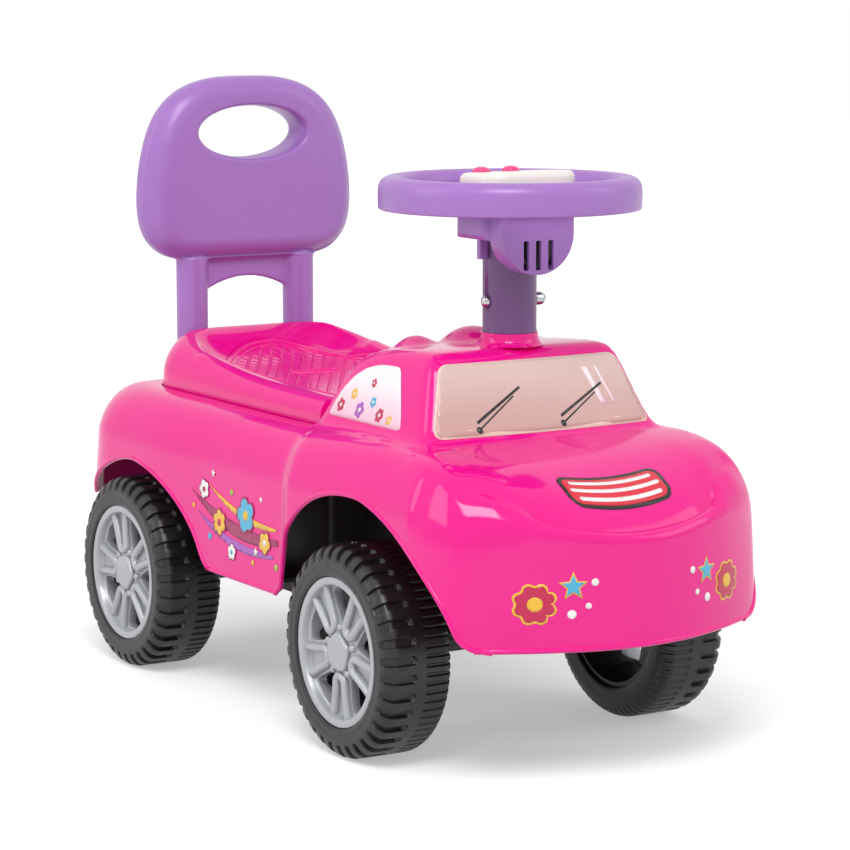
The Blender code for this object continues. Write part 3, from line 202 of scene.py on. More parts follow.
@dataclass(frozen=True)
class NetFinish(Finish):
    """A moulded plastic with a net of raised lines, crossing at an angle to the Y axis."""

    pitch_mm: float = 7.0
    line_mm: float = 1.3
    slant_deg: float = 31.0
    height_mm: float = 0.8

    def relief(self, tree: bpy.types.NodeTree, place: bpy.types.Node, bump: bpy.types.Node,
               shader: bpy.types.Node) -> None:
        """Add the net's raised lines over the fine relief.

        Args:
            tree: the material's node tree.
            place: the texture coordinate node.
            bump: the fine bump, which the net's bump follows.
            shader: the shader that takes the normal.
        """
        split = add_node(tree, "ShaderNodeSeparateXYZ", None, {"Vector": (place, "Object")})
        lines = []
        for sign in (-1, 1):
            across = add_node(tree, "ShaderNodeMath", {"operation": "MULTIPLY"},
                              {0: (split, "X"), 1: cos(radians(self.slant_deg)) / (self.pitch_mm * MM)})
            slant = sign * sin(radians(self.slant_deg)) / (self.pitch_mm * MM)
            along = add_node(tree, "ShaderNodeMath", {"operation": "MULTIPLY_ADD"},
                             {0: (split, "Y"), 1: slant, 2: (across, "Value")})
            wave = add_node(tree, "ShaderNodeMath", {"operation": "PINGPONG"}, {0: (along, "Value"), 1: 0.5})
            lines.append(add_node(tree, "ShaderNodeMapRange", {"interpolation_type": "SMOOTHSTEP"},
                                  {"Value": (wave, "Value"), "From Min": 0.0,
                                   "From Max": self.line_mm / self.pitch_mm, "To Min": 1.0, "To Max": 0.0}))
        net = add_node(tree, "ShaderNodeMath", {"operation": "MAXIMUM"},
                       {0: (lines[0], "Result"), 1: (lines[1], "Result")})
        raised = add_node(tree, "ShaderNodeBump", None,
                          {"Height": (net, "Value"), "Distance": self.height_mm * MM, "Strength": 1.0,
                           "Normal": (bump, "Normal")})
        tree.links.new(raised.outputs["Normal"], shader.inputs["Normal"])


@dataclass(frozen=True)
class FadedFinish(Finish):
    """A printed film whose colour runs from colour at the low edge to fade at the high edge."""

    fade: str = "#FFFFFF"
    low_z: float = 0.195
    high_z: float = 0.235

    def tint(self, tree: bpy.types.NodeTree, place: bpy.types.Node, shader: bpy.types.Node,
             mixed: bpy.types.Node) -> None:
        """Run the film's colour up into its faded colour.

        Args:
            tree: the material's node tree.
            place: the texture coordinate node.
            shader: the shader that takes the colour.
            mixed: the mottled base colour.
        """
        split = add_node(tree, "ShaderNodeSeparateXYZ", None, {"Vector": (place, "Object")})
        run = add_node(tree, "ShaderNodeMapRange", {"interpolation_type": "SMOOTHSTEP"},
                       {"Value": (split, "Z"), "From Min": self.low_z, "From Max": self.high_z})
        faded = add_node(tree, "ShaderNodeMix", {"data_type": "RGBA"},
                         {"Factor": (run, "Result"), 6: (mixed, 2), 7: linear(self.fade)})
        tree.links.new(faded.outputs[2], shader.inputs["Base Color"])


# Blow-moulded polyethylene dyed hot pink: deep even colour, a wet gloss with a faint orange peel
PINK = Finish("blow_moulded_pink", "pink_plastic", "#EF0A8E", "#E90888", 0.10, ior=1.42, mottle_mm=90.0,
              grain_mm=5.0, relief_mm=0.025, roughness_spread=0.03)
# The same moulding with its net of grip lines on the lid
PINK_NET = NetFinish("blow_moulded_pink_net", "pink_plastic", "#F21090", "#EC0C8A", 0.16, ior=1.42,
                     mottle_mm=90.0, grain_mm=5.0, relief_mm=0.02, roughness_spread=0.03, pitch_mm=7.3,
                     slant_deg=31.65)
# Moulded polypropylene in purple: satin, with the mild haze of a textured mould
PURPLE = Finish("satin_moulded_purple", "purple_plastic", "#A473C0", "#9D6CB9", 0.34, mottle_mm=60.0,
                grain_mm=1.0, relief_mm=0.008)
# Painted shade: the same purple plastic darkened for the column, which stands in shade under the music box
# and ring
PURPLE_PAINTED_SHADE = Finish("column_purple", "purple_plastic", "#704C80", "#684578", 0.36, mottle_mm=60.0,
                     grain_mm=1.0, relief_mm=0.008)
# Moulded ABS, off-white
CREAM = Finish("moulded_cream", "cream_plastic", "#F3EDE6", "#EAE2DB", 0.32, mottle_mm=30.0, grain_mm=0.9,
               relief_mm=0.006)
# Glossy ABS button caps
BUTTON = Finish("button_gloss_pink", "button_pink", "#EC3F86", "#E23079", 0.18, coat=0.3, mottle_mm=8.0,
                grain_mm=0.8, relief_mm=0.004)
# Moulded polypropylene, silver-grey pigment: soft metallic sheen without being metal
SILVER = Finish("silver_grey_moulding", "silver_plastic", "#B4B6BB", "#AAACB2", 0.30, metallic=0.25,
                mottle_mm=25.0, grain_mm=0.5, relief_mm=0.006)
# Blow-moulded tyre in black: dull with a slight sheen on its crests
TYRE = Finish("blow_moulded_tyre", "tyre_black", "#171618", "#111012", 0.38, mottle_mm=20.0, grain_mm=0.8,
              relief_mm=0.03, roughness_spread=0.1)
# Textured polypropylene for the unseen chassis and running gear
BLACK = Finish("textured_black_moulding", "black_plastic", "#1F1E20", "#191819", 0.5, mottle_mm=30.0,
               grain_mm=0.7, relief_mm=0.04, roughness_spread=0.1)
# Zinc-plated steel: bright, slightly uneven
STEEL = Finish("zinc_plated_steel", "bright_steel", "#B9BABE", "#A6A7AB", 0.16, metallic=1.0, mottle_mm=6.0,
               grain_mm=0.4, relief_mm=0.006, roughness_spread=0.12)
# Solder-masked laminate
BOARD = Finish("solder_mask_green", "board_green", "#1E6B3C", "#185A32", 0.35, mottle_mm=4.0, grain_mm=0.3,
               relief_mm=0.02)
# Shrink sleeve round a cell
SLEEVE = Finish("cell_sleeve", "cell_jacket", "#5B6470", "#4E5662", 0.3, mottle_mm=10.0, grain_mm=0.5,
                relief_mm=0.004)
# A pale cream border film laid round the windscreen's printed panel
EDGE_FILM = Finish("film_margin", "printed_film", "#EFD3C4", "#EACDBE", 0.28, mottle_mm=12.0, grain_mm=0.6,
                   relief_mm=0.004)
# Printed vinyl films: smooth and slightly glossy, with the faint dither of the print
SCREEN_FILM = FadedFinish("printed_screen_film", "printed_film", "#CBA49C", "#C69F97", 0.3, mottle_mm=12.0,
                          grain_mm=0.6, relief_mm=0.004, fade="#D9BDB5", low_z=0.197, high_z=0.236)
PANE_FILM = FadedFinish("printed_pane_film", "printed_film", "#F6C9DA", "#F3C2D5", 0.3, mottle_mm=12.0,
                        grain_mm=0.6, relief_mm=0.004, fade="#FBF0F3", low_z=0.197, high_z=0.225)


def ink(name: str, colour: str) -> Finish:
    """A printed ink on vinyl film, with a slightly darker dither.

    Args:
        name: the ink's name.
        colour: its sRGB hex colour.

    Returns:
        The ink's finish.
    """
    darker = "#" + "".join(f"{int(int(colour[i:i + 2], 16) * 0.94):02X}" for i in (1, 3, 5))
    return Finish(f"ink_{name}", "printed_film", colour, darker, 0.28, mottle_mm=3.0, grain_mm=0.6,
                  relief_mm=0.004)


INK_BLACK = ink("black", "#1A1416")
INK_WHITE = ink("white", "#FBF6F4")
INK_RED = ink("red", "#E2233C")
INK_GOLD = ink("gold", "#F4C13A")
INK_BLUE = ink("blue", "#4FB6DC")
INK_ROSE = ink("rose", "#C9184F")
INK_LILAC = ink("lilac", "#B05CC0")
INK_MAGENTA = ink("magenta", "#A50E5C")
INK_GREEN = ink("green", "#A9CF52")


# Shape helpers

def smooth_step(value: float, low: float, high: float) -> float:
    """Rise smoothly from 0 at low to 1 at high."""
    t = min(1.0, max(0.0, (value - low) / (high - low)))
    return t * t * (3 - 2 * t)


def soft_max(a: float, b: float, blend: float) -> float:
    """The greater of two values, rounded over where they meet."""
    h = max(blend - abs(a - b), 0.0) / blend
    return max(a, b) + h * h * blend / 4


def soft_min(a: float, b: float, blend: float) -> float:
    """The lesser of two values, rounded over where they meet."""
    return -soft_max(-a, -b, blend)


def curve_through(points: Sequence[Point2], at: float) -> float:
    """Follow a smooth curve through (place, value) points.

    Args:
        points: the points in rising order of place.
        at: the place to read.

    Returns:
        The curve's value there, held level before the first point and after the last.
    """
    if at <= points[0][0]:
        return points[0][1]
    for index in range(len(points) - 1):
        (p1, v1), (p2, v2) = points[index], points[index + 1]
        if at <= p2:
            p0, v0 = points[max(index - 1, 0)]
            p3, v3 = points[min(index + 2, len(points) - 1)]
            t = (at - p1) / (p2 - p1)
            m1 = (v2 - v0) / max(p2 - p0, 1e-9) * (p2 - p1)
            m2 = (v3 - v1) / max(p3 - p1, 1e-9) * (p2 - p1)
            return ((2 * t**3 - 3 * t**2 + 1) * v1 + (t**3 - 2 * t**2 + t) * m1
                    + (3 * t**2 - 2 * t**3) * v2 + (t**3 - t**2) * m2)
    return points[-1][1]


def refined(values: Sequence[float], pitch: float) -> list[float]:
    """Divide each step of a rising list into equal steps of about pitch.

    Args:
        values: the rising list.
        pitch: about how long each new step is.

    Returns:
        The list with the places between.
    """
    out = [values[0]]
    for low, high in zip(values, values[1:]):
        steps = max(1, round((high - low) / pitch))
        out += [low + (high - low) * k / steps for k in range(1, steps + 1)]
    return out


def rounded_outline(half_x: float, low_y: float, high_y: float, radius: float, steps: int = 8,
                    front_radius: float | None = None) -> list[Point2]:
    """A rectangle about X = 0 with rounded corners, its two corners at low Y set apart if wanted.

    Args:
        half_x: half its width.
        low_y: its low edge.
        high_y: its high edge.
        radius: its corners' radius.
        steps: curve steps for each corner.
        front_radius: another radius for the corners at low Y.

    Returns:
        The outline's points.
    """
    front = radius if front_radius is None else front_radius
    points = []
    corners = ((half_x, high_y, radius, 0), (-half_x, high_y, radius, 1),
               (-half_x, low_y, front, 2), (half_x, low_y, front, 3))
    for x, y, r, quarter in corners:
        centre_x = x - r * (1 if x > 0 else -1)
        centre_y = y - r * (1 if quarter < 2 else -1)
        for step in range(steps + 1):
            angle = (quarter + step / steps) * pi / 2
            points.append((centre_x + r * cos(angle), centre_y + r * sin(angle)))
    return points


def prism(outline: Sequence[Point2], low: float, high: float, axis: Axis = Axis.Z) -> bmesh.types.BMesh:
    """Extrude a closed outline.

    Args:
        outline: (x, y) points for Z, (y, z) for X and (x, z) for Y.
        low: where the extrusion starts along the axis.
        high: where it ends.
        axis: the axis to extrude along.

    Returns:
        A closed bmesh.
    """
    place = {Axis.Z: lambda p, d: (p[0], p[1], d), Axis.X: lambda p, d: (d, p[0], p[1]),
             Axis.Y: lambda p, d: (p[0], d, p[1])}[axis]
    bm = bmesh.new()
    face = bm.faces.new([bm.verts.new(place(p, low)) for p in outline])
    grown = bmesh.ops.extrude_face_region(bm, geom=[face])
    lifted = [v for v in grown["geom"] if isinstance(v, bmesh.types.BMVert)]
    bmesh.ops.translate(bm, verts=lifted, vec=Vector(place((0, 0), high)) - Vector(place((0, 0), low)))
    bmesh.ops.recalc_face_normals(bm, faces=bm.faces[:])
    return bm


def turned(profile: Sequence[Point2], steps: int, axis: Axis = Axis.Z) -> bmesh.types.BMesh:
    """Spin a closed outline of (radius, height) points; for X its height runs along +X.

    Args:
        profile: the outline from its first to its last point.
        steps: facets round.
        axis: the axis it is turned about.

    Returns:
        A closed bmesh.
    """
    bm = bmesh.new()
    verts = [bm.verts.new((r, 0, h)) for r, h in profile]
    edges = [bm.edges.new((verts[i], verts[i + 1])) for i in range(len(verts) - 1)]
    if profile[0][0] > 0 or profile[-1][0] > 0:
        edges.append(bm.edges.new((verts[-1], verts[0])))
    bmesh.ops.spin(bm, geom=verts + edges, cent=(0, 0, 0), axis=(0, 0, 1), angle=tau, steps=steps,
                   use_merge=True, use_duplicate=False)
    bmesh.ops.remove_doubles(bm, verts=bm.verts[:], dist=1e-6)
    turn = {Axis.X: Matrix.Rotation(pi / 2, 3, "Y"), Axis.Y: Matrix.Rotation(-pi / 2, 3, "X")}
    if axis in turn:
        turned_by(bm, turn[axis])
    bmesh.ops.recalc_face_normals(bm, faces=bm.faces[:])
    return bm


def block(low: Sequence[float], high: Sequence[float], bevel: float = 0.0,
          segments: int = 3) -> bmesh.types.BMesh:
    """A box from its low corner to its high corner, its edges rounded by bevel.

    Args:
        low: the low corner.
        high: the high corner.
        bevel: the rounding, or 0 for none.
        segments: steps across the rounding.

    Returns:
        A closed bmesh.
    """
    bm = bmesh.new()
    bmesh.ops.create_cube(bm, size=1.0)
    bmesh.ops.scale(bm, verts=bm.verts[:], vec=Vector(high) - Vector(low))
    bmesh.ops.translate(bm, verts=bm.verts[:], vec=(Vector(low) + Vector(high)) / 2)
    if bevel:
        round_edges(bm, bm.edges[:], bevel, segments)
    return bm


def joined(parts: Iterable[bmesh.types.BMesh]) -> bmesh.types.BMesh:
    """Gather the shells of several bmeshes into one, and free them.

    Args:
        parts: the bmeshes.

    Returns:
        One bmesh with all of them.
    """
    whole = bmesh.new()
    for part in parts:
        mesh = bpy.data.meshes.new("passing")
        part.to_mesh(mesh)
        part.free()
        whole.from_mesh(mesh)
        bpy.data.meshes.remove(mesh)
    return whole


def moved(bm: bmesh.types.BMesh, place: Sequence[float]) -> bmesh.types.BMesh:
    """Move a bmesh's points by a vector, and return it."""
    bmesh.ops.translate(bm, verts=bm.verts[:], vec=place)
    return bm


def turned_by(bm: bmesh.types.BMesh, turn: Matrix) -> bmesh.types.BMesh:
    """Rotate a bmesh's points about the origin, and return it."""
    bmesh.ops.rotate(bm, verts=bm.verts[:], cent=(0, 0, 0), matrix=turn)
    return bm


def round_edges(bm: bmesh.types.BMesh, edges: Sequence[bmesh.types.BMEdge], offset: float,
                segments: int) -> None:
    """Round some of a bmesh's edges."""
    bmesh.ops.bevel(bm, geom=edges, offset=offset, segments=segments, affect="EDGES", profile=0.5,
                    material=-1)


def tube(path: Sequence[Vector], radius: float, sides: int = 10, closed: bool = False) -> bmesh.types.BMesh:
    """Sweep a circle along a path.

    Args:
        path: the middle line's points.
        radius: the tube's radius.
        sides: facets round the tube.
        closed: whether the path returns to its start.

    Returns:
        A closed tube with its ends capped, or a closed ring.
    """
    bm = bmesh.new()
    count = len(path)
    rings = []
    side = None
    for index, point in enumerate(path):
        before = path[index - 1] if closed or index else point
        after = path[(index + 1) % count] if closed or index < count - 1 else point
        along = (after - before).normalized()
        if side is None:
            side = along.orthogonal().normalized()
        side = (side - along * side.dot(along)).normalized()
        up = along.cross(side)
        rings.append([bm.verts.new(point + radius * (side * cos(tau * k / sides) + up * sin(tau * k / sides)))
                      for k in range(sides)])
    pairs = list(zip(rings, rings[1:])) + ([(rings[-1], rings[0])] if closed else [])
    for low, high in pairs:
        for k in range(sides):
            bm.faces.new((low[k], low[(k + 1) % sides], high[(k + 1) % sides], high[k]))
    if not closed:
        bm.faces.new(rings[0][::-1])
        bm.faces.new(rings[-1])
    bmesh.ops.recalc_face_normals(bm, faces=bm.faces[:])
    return bm


def as_object(name: str, bm: bmesh.types.BMesh, finish: Finish | None,
              sharp: float = 40.0) -> bpy.types.Object:
    """Make an object of a bmesh at the origin, shaded smooth up to a sharp angle in degrees.

    Args:
        name: the object's name.
        bm: its shape, which is freed.
        finish: its finish, or None for a tool.
        sharp: the angle above which an edge stays sharp.

    Returns:
        The new object.
    """
    mesh = bpy.data.meshes.new(name)
    bm.to_mesh(mesh)
    bm.free()
    mesh.shade_smooth()
    mesh.set_sharp_from_angle(angle=radians(sharp))
    piece = bpy.data.objects.new(name, mesh)
    bpy.context.scene.collection.objects.link(piece)
    if finish:
        mesh.materials.append(finish.material())
    return piece


def cut(target: bpy.types.Object, tool: bmesh.types.BMesh, operation: str = "DIFFERENCE",
        solver: str = "EXACT") -> None:
    """Apply a Boolean with a closed bmesh to an object, and drop the tool.

    Args:
        target: the object whose mesh is changed.
        tool: the closed shape that cuts, joins or limits it.
        operation: DIFFERENCE, UNION or INTERSECT.
        solver: EXACT, or MANIFOLD where a tight corner defeats it.
    """
    helper = as_object("passing_tool", tool, None)
    step = target.modifiers.new("cut", "BOOLEAN")
    step.operation, step.object, step.solver = operation, helper, solver
    bake(target)
    bpy.data.objects.remove(helper, do_unlink=True)


def bake(piece: bpy.types.Object) -> None:
    """Put a piece's modifiers into its mesh, and keep its finish.

    Args:
        piece: the piece whose mesh is replaced.
    """
    graph = bpy.context.evaluated_depsgraph_get()
    graph.update()
    mesh = bpy.data.meshes.new_from_object(piece.evaluated_get(graph))
    old = piece.data
    mesh.materials.clear()
    for held in old.materials:
        mesh.materials.append(held)
    piece.modifiers.clear()
    piece.data = mesh
    mesh.name = piece.name
    bpy.data.meshes.remove(old)


def soften(piece: bpy.types.Object, width_mm: float, segments: int = 3, angle: float = 35.0) -> None:
    """Round a piece's sharp edges with a Bevel modifier and put it into the mesh.

    Args:
        piece: the piece.
        width_mm: how wide the rounding is, in mm.
        segments: steps across it.
        angle: the angle in degrees above which an edge is rounded.
    """
    edge = piece.modifiers.new("soften", "BEVEL")
    edge.width = width_mm * MM
    edge.segments = segments
    edge.limit_method = "ANGLE"
    edge.angle_limit = radians(angle)
    edge.use_clamp_overlap = True
    bake(piece)
    piece.data.shade_smooth()
    piece.data.set_sharp_from_angle(angle=radians(50))


def shell(piece: bpy.types.Object, thickness: float, offset: float = -1.0, even: bool = True) -> None:
    """Give an open skin its wall, and put it into the mesh.

    Args:
        piece: the open skin.
        thickness: the wall.
        offset: -1 for a wall inwards, 1 for one outwards.
        even: whether bends keep the full thickness.
    """
    wall = piece.modifiers.new("wall", "SOLIDIFY")
    wall.thickness = thickness
    wall.offset = offset
    wall.use_even_offset = even
    bake(piece)


def place_piece(piece: bpy.types.Object, body: str, finish: Finish, *nodes: str) -> bpy.types.Object:
    """Hang a piece on a body, and let it stand for CAD nodes.

    Args:
        piece: the finished piece.
        body: the CAD body that it rides on.
        finish: not used.
        nodes: the CAD nodes that it stands for.

    Returns:
        The same piece.
    """
    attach(piece, body)
    if nodes:
        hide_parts(*nodes)
    log.info("%s rides on %s, %d faces", piece.name, body, len(piece.data.polygons))
    return piece


def moulded_skin(columns: Sequence[float], rows: Sequence[float], crown: Callable[[float, float], Point2],
                 height: Callable[[float, float, float], float],
                 rim: Callable[[float, float, bool], Point2], levels: Sequence[Ring]) -> bmesh.types.BMesh:
    """Build a crowned grid whose edge is drawn out ring by ring into rounded shoulders and walls.

    Args:
        columns: places across, from 0 at the middle to 1 at the edge.
        rows: places along the car.
        crown: (across, row) to a place seen from above.
        height: (x, y, row) to the height there.
        rim: (across, row, on an end row) to the edge point's place on the widest outline.
        levels: one function for each ring, from a start point and its rim place to the ring's point.

    Returns:
        An open skin, facing out.
    """
    across = [-c for c in reversed(columns[1:])] + list(columns)
    bm = bmesh.new()
    width, depth = len(across), len(rows)
    bmesh.ops.create_grid(bm, x_segments=width - 1, y_segments=depth - 1, size=1.0)
    source: dict = {}
    for vert in bm.verts:
        i = round((vert.co.x + 1) / 2 * (width - 1))
        j = round((vert.co.y + 1) / 2 * (depth - 1))
        x, y = crown(across[i], rows[j])
        vert.co = (x, y, height(x, y, rows[j]))
        if i in (0, width - 1) or j in (0, depth - 1):
            source[vert] = (vert.co.copy(), rim(across[i], rows[j], j in (0, depth - 1)))
    edges = [edge for edge in bm.edges if edge.is_boundary]
    for level in levels:
        grown = bmesh.ops.extrude_edge_only(bm, edges=edges)
        edges = [e for e in grown["geom"] if isinstance(e, bmesh.types.BMEdge) and e.is_boundary]
        matched = {}
        for vert in {v for e in edges for v in e.verts}:
            above = next(v for v in (e.other_vert(vert) for e in vert.link_edges) if v in source)
            matched[vert] = source[above]
            vert.co = level(*source[above])
        source = matched
    bmesh.ops.recalc_face_normals(bm, faces=bm.faces[:])
    if sum(face.normal.z for face in bm.faces) < 0:
        bmesh.ops.reverse_faces(bm, faces=bm.faces[:])
    return bm


def shoulder_level(part: float, lowest: float) -> Ring:
    """A ring on the quarter round from the crown, at part 0, to the upright wall, at part 1.

    Args:
        part: the place on the quarter round.
        lowest: the height where the wall begins.

    Returns:
        The function that places each point.
    """
    def ring(start: Vector, place: Point2) -> Vector:
        """Place a point between its start and its rim place.

        Args:
            start: the edge point of the crown.
            place: its X and Y on the widest outline.

        Returns:
            The ring's point.
        """
        flat = start.xy.lerp(Vector(place), sin(part * pi / 2))
        reach = min(lowest, start.z - 0.006)
        return Vector((flat.x, flat.y, start.z - (start.z - reach) * (1 - cos(part * pi / 2))))
    return ring


def wall_level(part: float, top: float, bottom: Callable[[float], float], draft: float) -> Ring:
    """A ring on the wall below the shoulder.

    Args:
        part: the place down the wall, from 0 to 1.
        top: the height where the wall begins.
        bottom: the lower edge's height at a Y.
        draft: how far the wall leans out at its foot.

    Returns:
        The function that places each point.
    """
    def ring(start: Vector, place: Point2) -> Vector:
        """Place a point on the wall below its rim place.

        Args:
            start: the edge point of the crown.
            place: its X and Y on the widest outline.

        Returns:
            The ring's point.
        """
        outward = (Vector(place) - start.xy).normalized()
        flat = Vector(place) + outward * draft * part
        reach = min(top, start.z - 0.006)
        return Vector((flat.x, flat.y, reach + (bottom(place[1]) - reach) * part))
    return ring


# Body

NOSE_Y = -0.266
TAIL_Y = 0.266
NOSE_RADIUS = 0.145
NOSE_CORNER_X = 0.105
TAIL_INSET = 0.0146
CROWN_REACH = 0.0875
FENDER_HALF_WIDTH = 0.115
DOOR_HALF_WIDTH = 0.1105
REAR_HALF_WIDTH = 0.113
SKIRT_Z = 0.084
TAIL_SKIRT_Z = 0.108
WIDEST_Z = 0.150
WALL_DRAFT = 0.003
LEDGE_Z = 0.149
HOOD_TOP_Z = 0.193
FENDER_TOP_Z = 0.191
SHOULDER_Z = 0.187
SCREEN_FOOT_Y = -0.163
ROOF_Z = 0.2480
ROOF_BORE_RADIUS = 0.0153
ROOF_LIP_Y = -0.090
ROOF_LIP_Z = 0.2415
CAB_TAIL_Y = -0.029
CAB_HALF_WIDTH = 0.083
FRONT_AXLE_Y = -0.117
REAR_AXLE_Y = 0.173
COLUMN_Y = -0.120
BACK_Y = 0.219
POST_HALF_SPACING = 0.0422
HOOD_LINE = ((-0.261, LEDGE_Z), (-0.2575, LEDGE_Z), (-0.2550, 0.1525), (-0.250, 0.1580),
             (-0.240, 0.1665), (-0.225, 0.1750), (-0.205, 0.1830), (-0.180, 0.1895),
             (SCREEN_FOOT_Y, HOOD_TOP_Z), (-0.12, HOOD_TOP_Z))
FENDER_LINE = ((-0.261, 0.1745), (-0.240, 0.1815), (-0.210, 0.1870), (SCREEN_FOOT_Y, FENDER_TOP_Z),
               (-0.100, FENDER_TOP_Z), (-0.040, 0.188), (0.0, SHOULDER_Z))
TOP_ROUNDS = 6
CORNER_ROUNDS = 24
GAUGES = ((0.0, -0.079, 0.026, 0.028, 0.2510), (0.037, -0.072, 0.019, 0.022, 0.2470),
          (-0.037, -0.072, 0.019, 0.022, 0.2470))
BODY_ROWS = (-0.261, -0.2572, -0.2545, -0.2500, -0.240, -0.222, -0.200, -0.180, -0.166, -0.159,
             -0.150, -0.141, -0.132, -0.112, -0.092, -0.078, -0.062, -0.047, -0.036, -0.028,
             -0.012, 0.040, 0.100, 0.160, 0.205, 0.232)
BODY_COLUMNS = (0.0, 0.20, 0.40, 0.58, 0.70, 0.79, 0.87, 0.935, 1.0)


def half_width(y: float) -> float:
    """Half width of the body at its widest level.

    Args:
        y: the place along the car.

    Returns:
        The half width.
    """
    fender = 1 - smooth_step(y, -0.047, -0.033)
    rear = smooth_step(y, 0.06, 0.16)
    return (DOOR_HALF_WIDTH + (FENDER_HALF_WIDTH - DOOR_HALF_WIDTH) * fender
            + (REAR_HALF_WIDTH - DOOR_HALF_WIDTH) * rear)


def crown_place(across: float, row: float) -> Point2:
    """Where a grid point of the top lies, seen from above.

    Args:
        across: the place across, from -1 to 1.
        row: the place along the middle line.

    Returns:
        Its X and Y.
    """
    reach = CROWN_REACH + 0.0035 * (1 - smooth_step(row, -0.047, -0.033))
    to_tail = max(0.0, (row - 0.150) / 0.082)
    x = across * (reach - 0.0105 * to_tail**2)
    to_nose = max(0.0, (SCREEN_FOOT_Y - row) / 0.098) ** 1.5
    bend = to_nose * (1.45 * x * x + 554 * x**4)
    return x, row + bend - 0.007 * to_tail**2 * across**4


def rim_place(across: float, row: float, on_row: bool) -> Point2:
    """Where the same edge point comes to lie on the widest outline.

    Args:
        across: the place across, from -1 to 1.
        row: the place along the middle line.
        on_row: whether it is on the first or last row.

    Returns:
        Its X and Y.
    """
    if on_row and row < 0:
        x = across * NOSE_CORNER_X
        return x, NOSE_Y + x * x / (2 * NOSE_RADIUS)
    if on_row:
        return across * 0.0984, TAIL_Y - TAIL_INSET * abs(across) ** 3
    side = 1 if across > 0 else -1
    y_front, y_back = NOSE_Y + NOSE_CORNER_X**2 / (2 * NOSE_RADIUS), TAIL_Y - TAIL_INSET
    first, last = crown_place(1, BODY_ROWS[0])[1], crown_place(1, BODY_ROWS[-1])[1]
    y = y_front + (crown_place(1, row)[1] - first) / (last - first) * (y_back - y_front)
    nose = max(0.0, (-0.190 - y) / (-0.190 - y_front))
    tail = max(0.0, (y - 0.200) / (y_back - 0.200))
    return side * (half_width(y) - 0.010 * nose**2 - TAIL_INSET * tail**3), y


def body_height(x: float, row: float) -> float:
    """Height of the bonnet, fenders and ledge, before the cab rises from them.

    Args:
        x: the place across the car.
        row: the place along the middle line.

    Returns:
        The height.
    """
    to_nose = max(0.0, min(1.0, (SCREEN_FOOT_Y - row) / 0.098))
    hood = curve_through(HOOD_LINE, row) + (2.1 * to_nose - 0.35 * (1 - to_nose)) * x * x
    fender = curve_through(FENDER_LINE, row)
    if row >= SCREEN_FOOT_Y:
        return fender + (hood - fender) * (1 - smooth_step(row, SCREEN_FOOT_Y, -0.12))
    return hood + (fender - hood) * smooth_step(abs(x), 0.056, 0.092)


def cab_height(x: float, y: float) -> float:
    """Height of the cab: roof, windscreen, sides, sloping tail and the gauge humps on it.

    Args:
        x: the place across the car.
        y: the place along it.

    Returns:
        The height, far down where there is no cab.
    """
    roof = ROOF_Z - 0.9 * x * x - 0.12 * max(0.0, y - COLUMN_Y) - 0.06 * max(0.0, COLUMN_Y - y)
    screen = HOOD_TOP_Z + (y - SCREEN_FOOT_Y - 0.6 * x * x) * 2.15
    side = FENDER_TOP_Z + (CAB_HALF_WIDTH - abs(x)) * 3.07
    run = min(1.0, max(0.0, (y - ROOF_LIP_Y) / (CAB_TAIL_Y - ROOF_LIP_Y)))
    tail = SHOULDER_Z - 0.004 + (ROOF_LIP_Z - SHOULDER_Z + 0.006) * sqrt(1 - run * run)
    if y > CAB_TAIL_Y:
        tail = 0.0
    shape = soft_min(soft_min(roof, screen, 0.006), soft_min(side, tail, 0.005), 0.006)
    for centre_x, centre_y, reach_x, reach_y, top in GAUGES:
        left = 1 - ((x - centre_x) / reach_x) ** 2 - ((y - centre_y) / reach_y) ** 2
        if left > 0:
            shape = soft_max(shape, top - 0.026 + 0.026 * sqrt(left), 0.0012)
    return shape


def surface_height(x: float, y: float, row: float) -> float:
    """Height of the body's top: the cab blended into the bonnet and fenders."""
    return soft_max(body_height(x, row), cab_height(x, y), 0.004)


def skirt_bottom(y: float) -> float:
    """Height of the shell's lower edge at a place along it."""
    return SKIRT_Z + (TAIL_SKIRT_Z - SKIRT_Z) * smooth_step(y, 0.19, 0.24)


def body_skin(pitch: float = 0.0030) -> bmesh.types.BMesh:
    """The body's outer skin on a fine grid: crown, shoulder rings and wall rings.

    Args:
        pitch: about the step between rows and between columns.

    Returns:
        An open skin, facing out.
    """
    steps = 10
    levels = [shoulder_level(step / steps, WIDEST_Z) for step in range(1, steps + 1)]
    levels += [wall_level(step / 9, WIDEST_Z, skirt_bottom, WALL_DRAFT) for step in range(1, 10)]
    rows = refined(BODY_ROWS, pitch)
    columns = refined([c * CROWN_REACH for c in BODY_COLUMNS], pitch)
    bm = moulded_skin([c / CROWN_REACH for c in columns], rows, crown_place, surface_height, rim_place,
                      levels)
    top = [v for v in bm.verts if not v.is_boundary and v.co.z > 0.160]
    corners = [v for v in bm.verts if v.co.y < -0.190 and abs(v.co.x) > 0.072]
    for verts, rounds, upright_too in ((top, TOP_ROUNDS, True), (corners, CORNER_ROUNDS, False)):
        for _ in range(rounds):
            bmesh.ops.smooth_vert(bm, verts=verts, factor=0.5, use_axis_x=True, use_axis_y=True,
                                  use_axis_z=upright_too)
    return bm


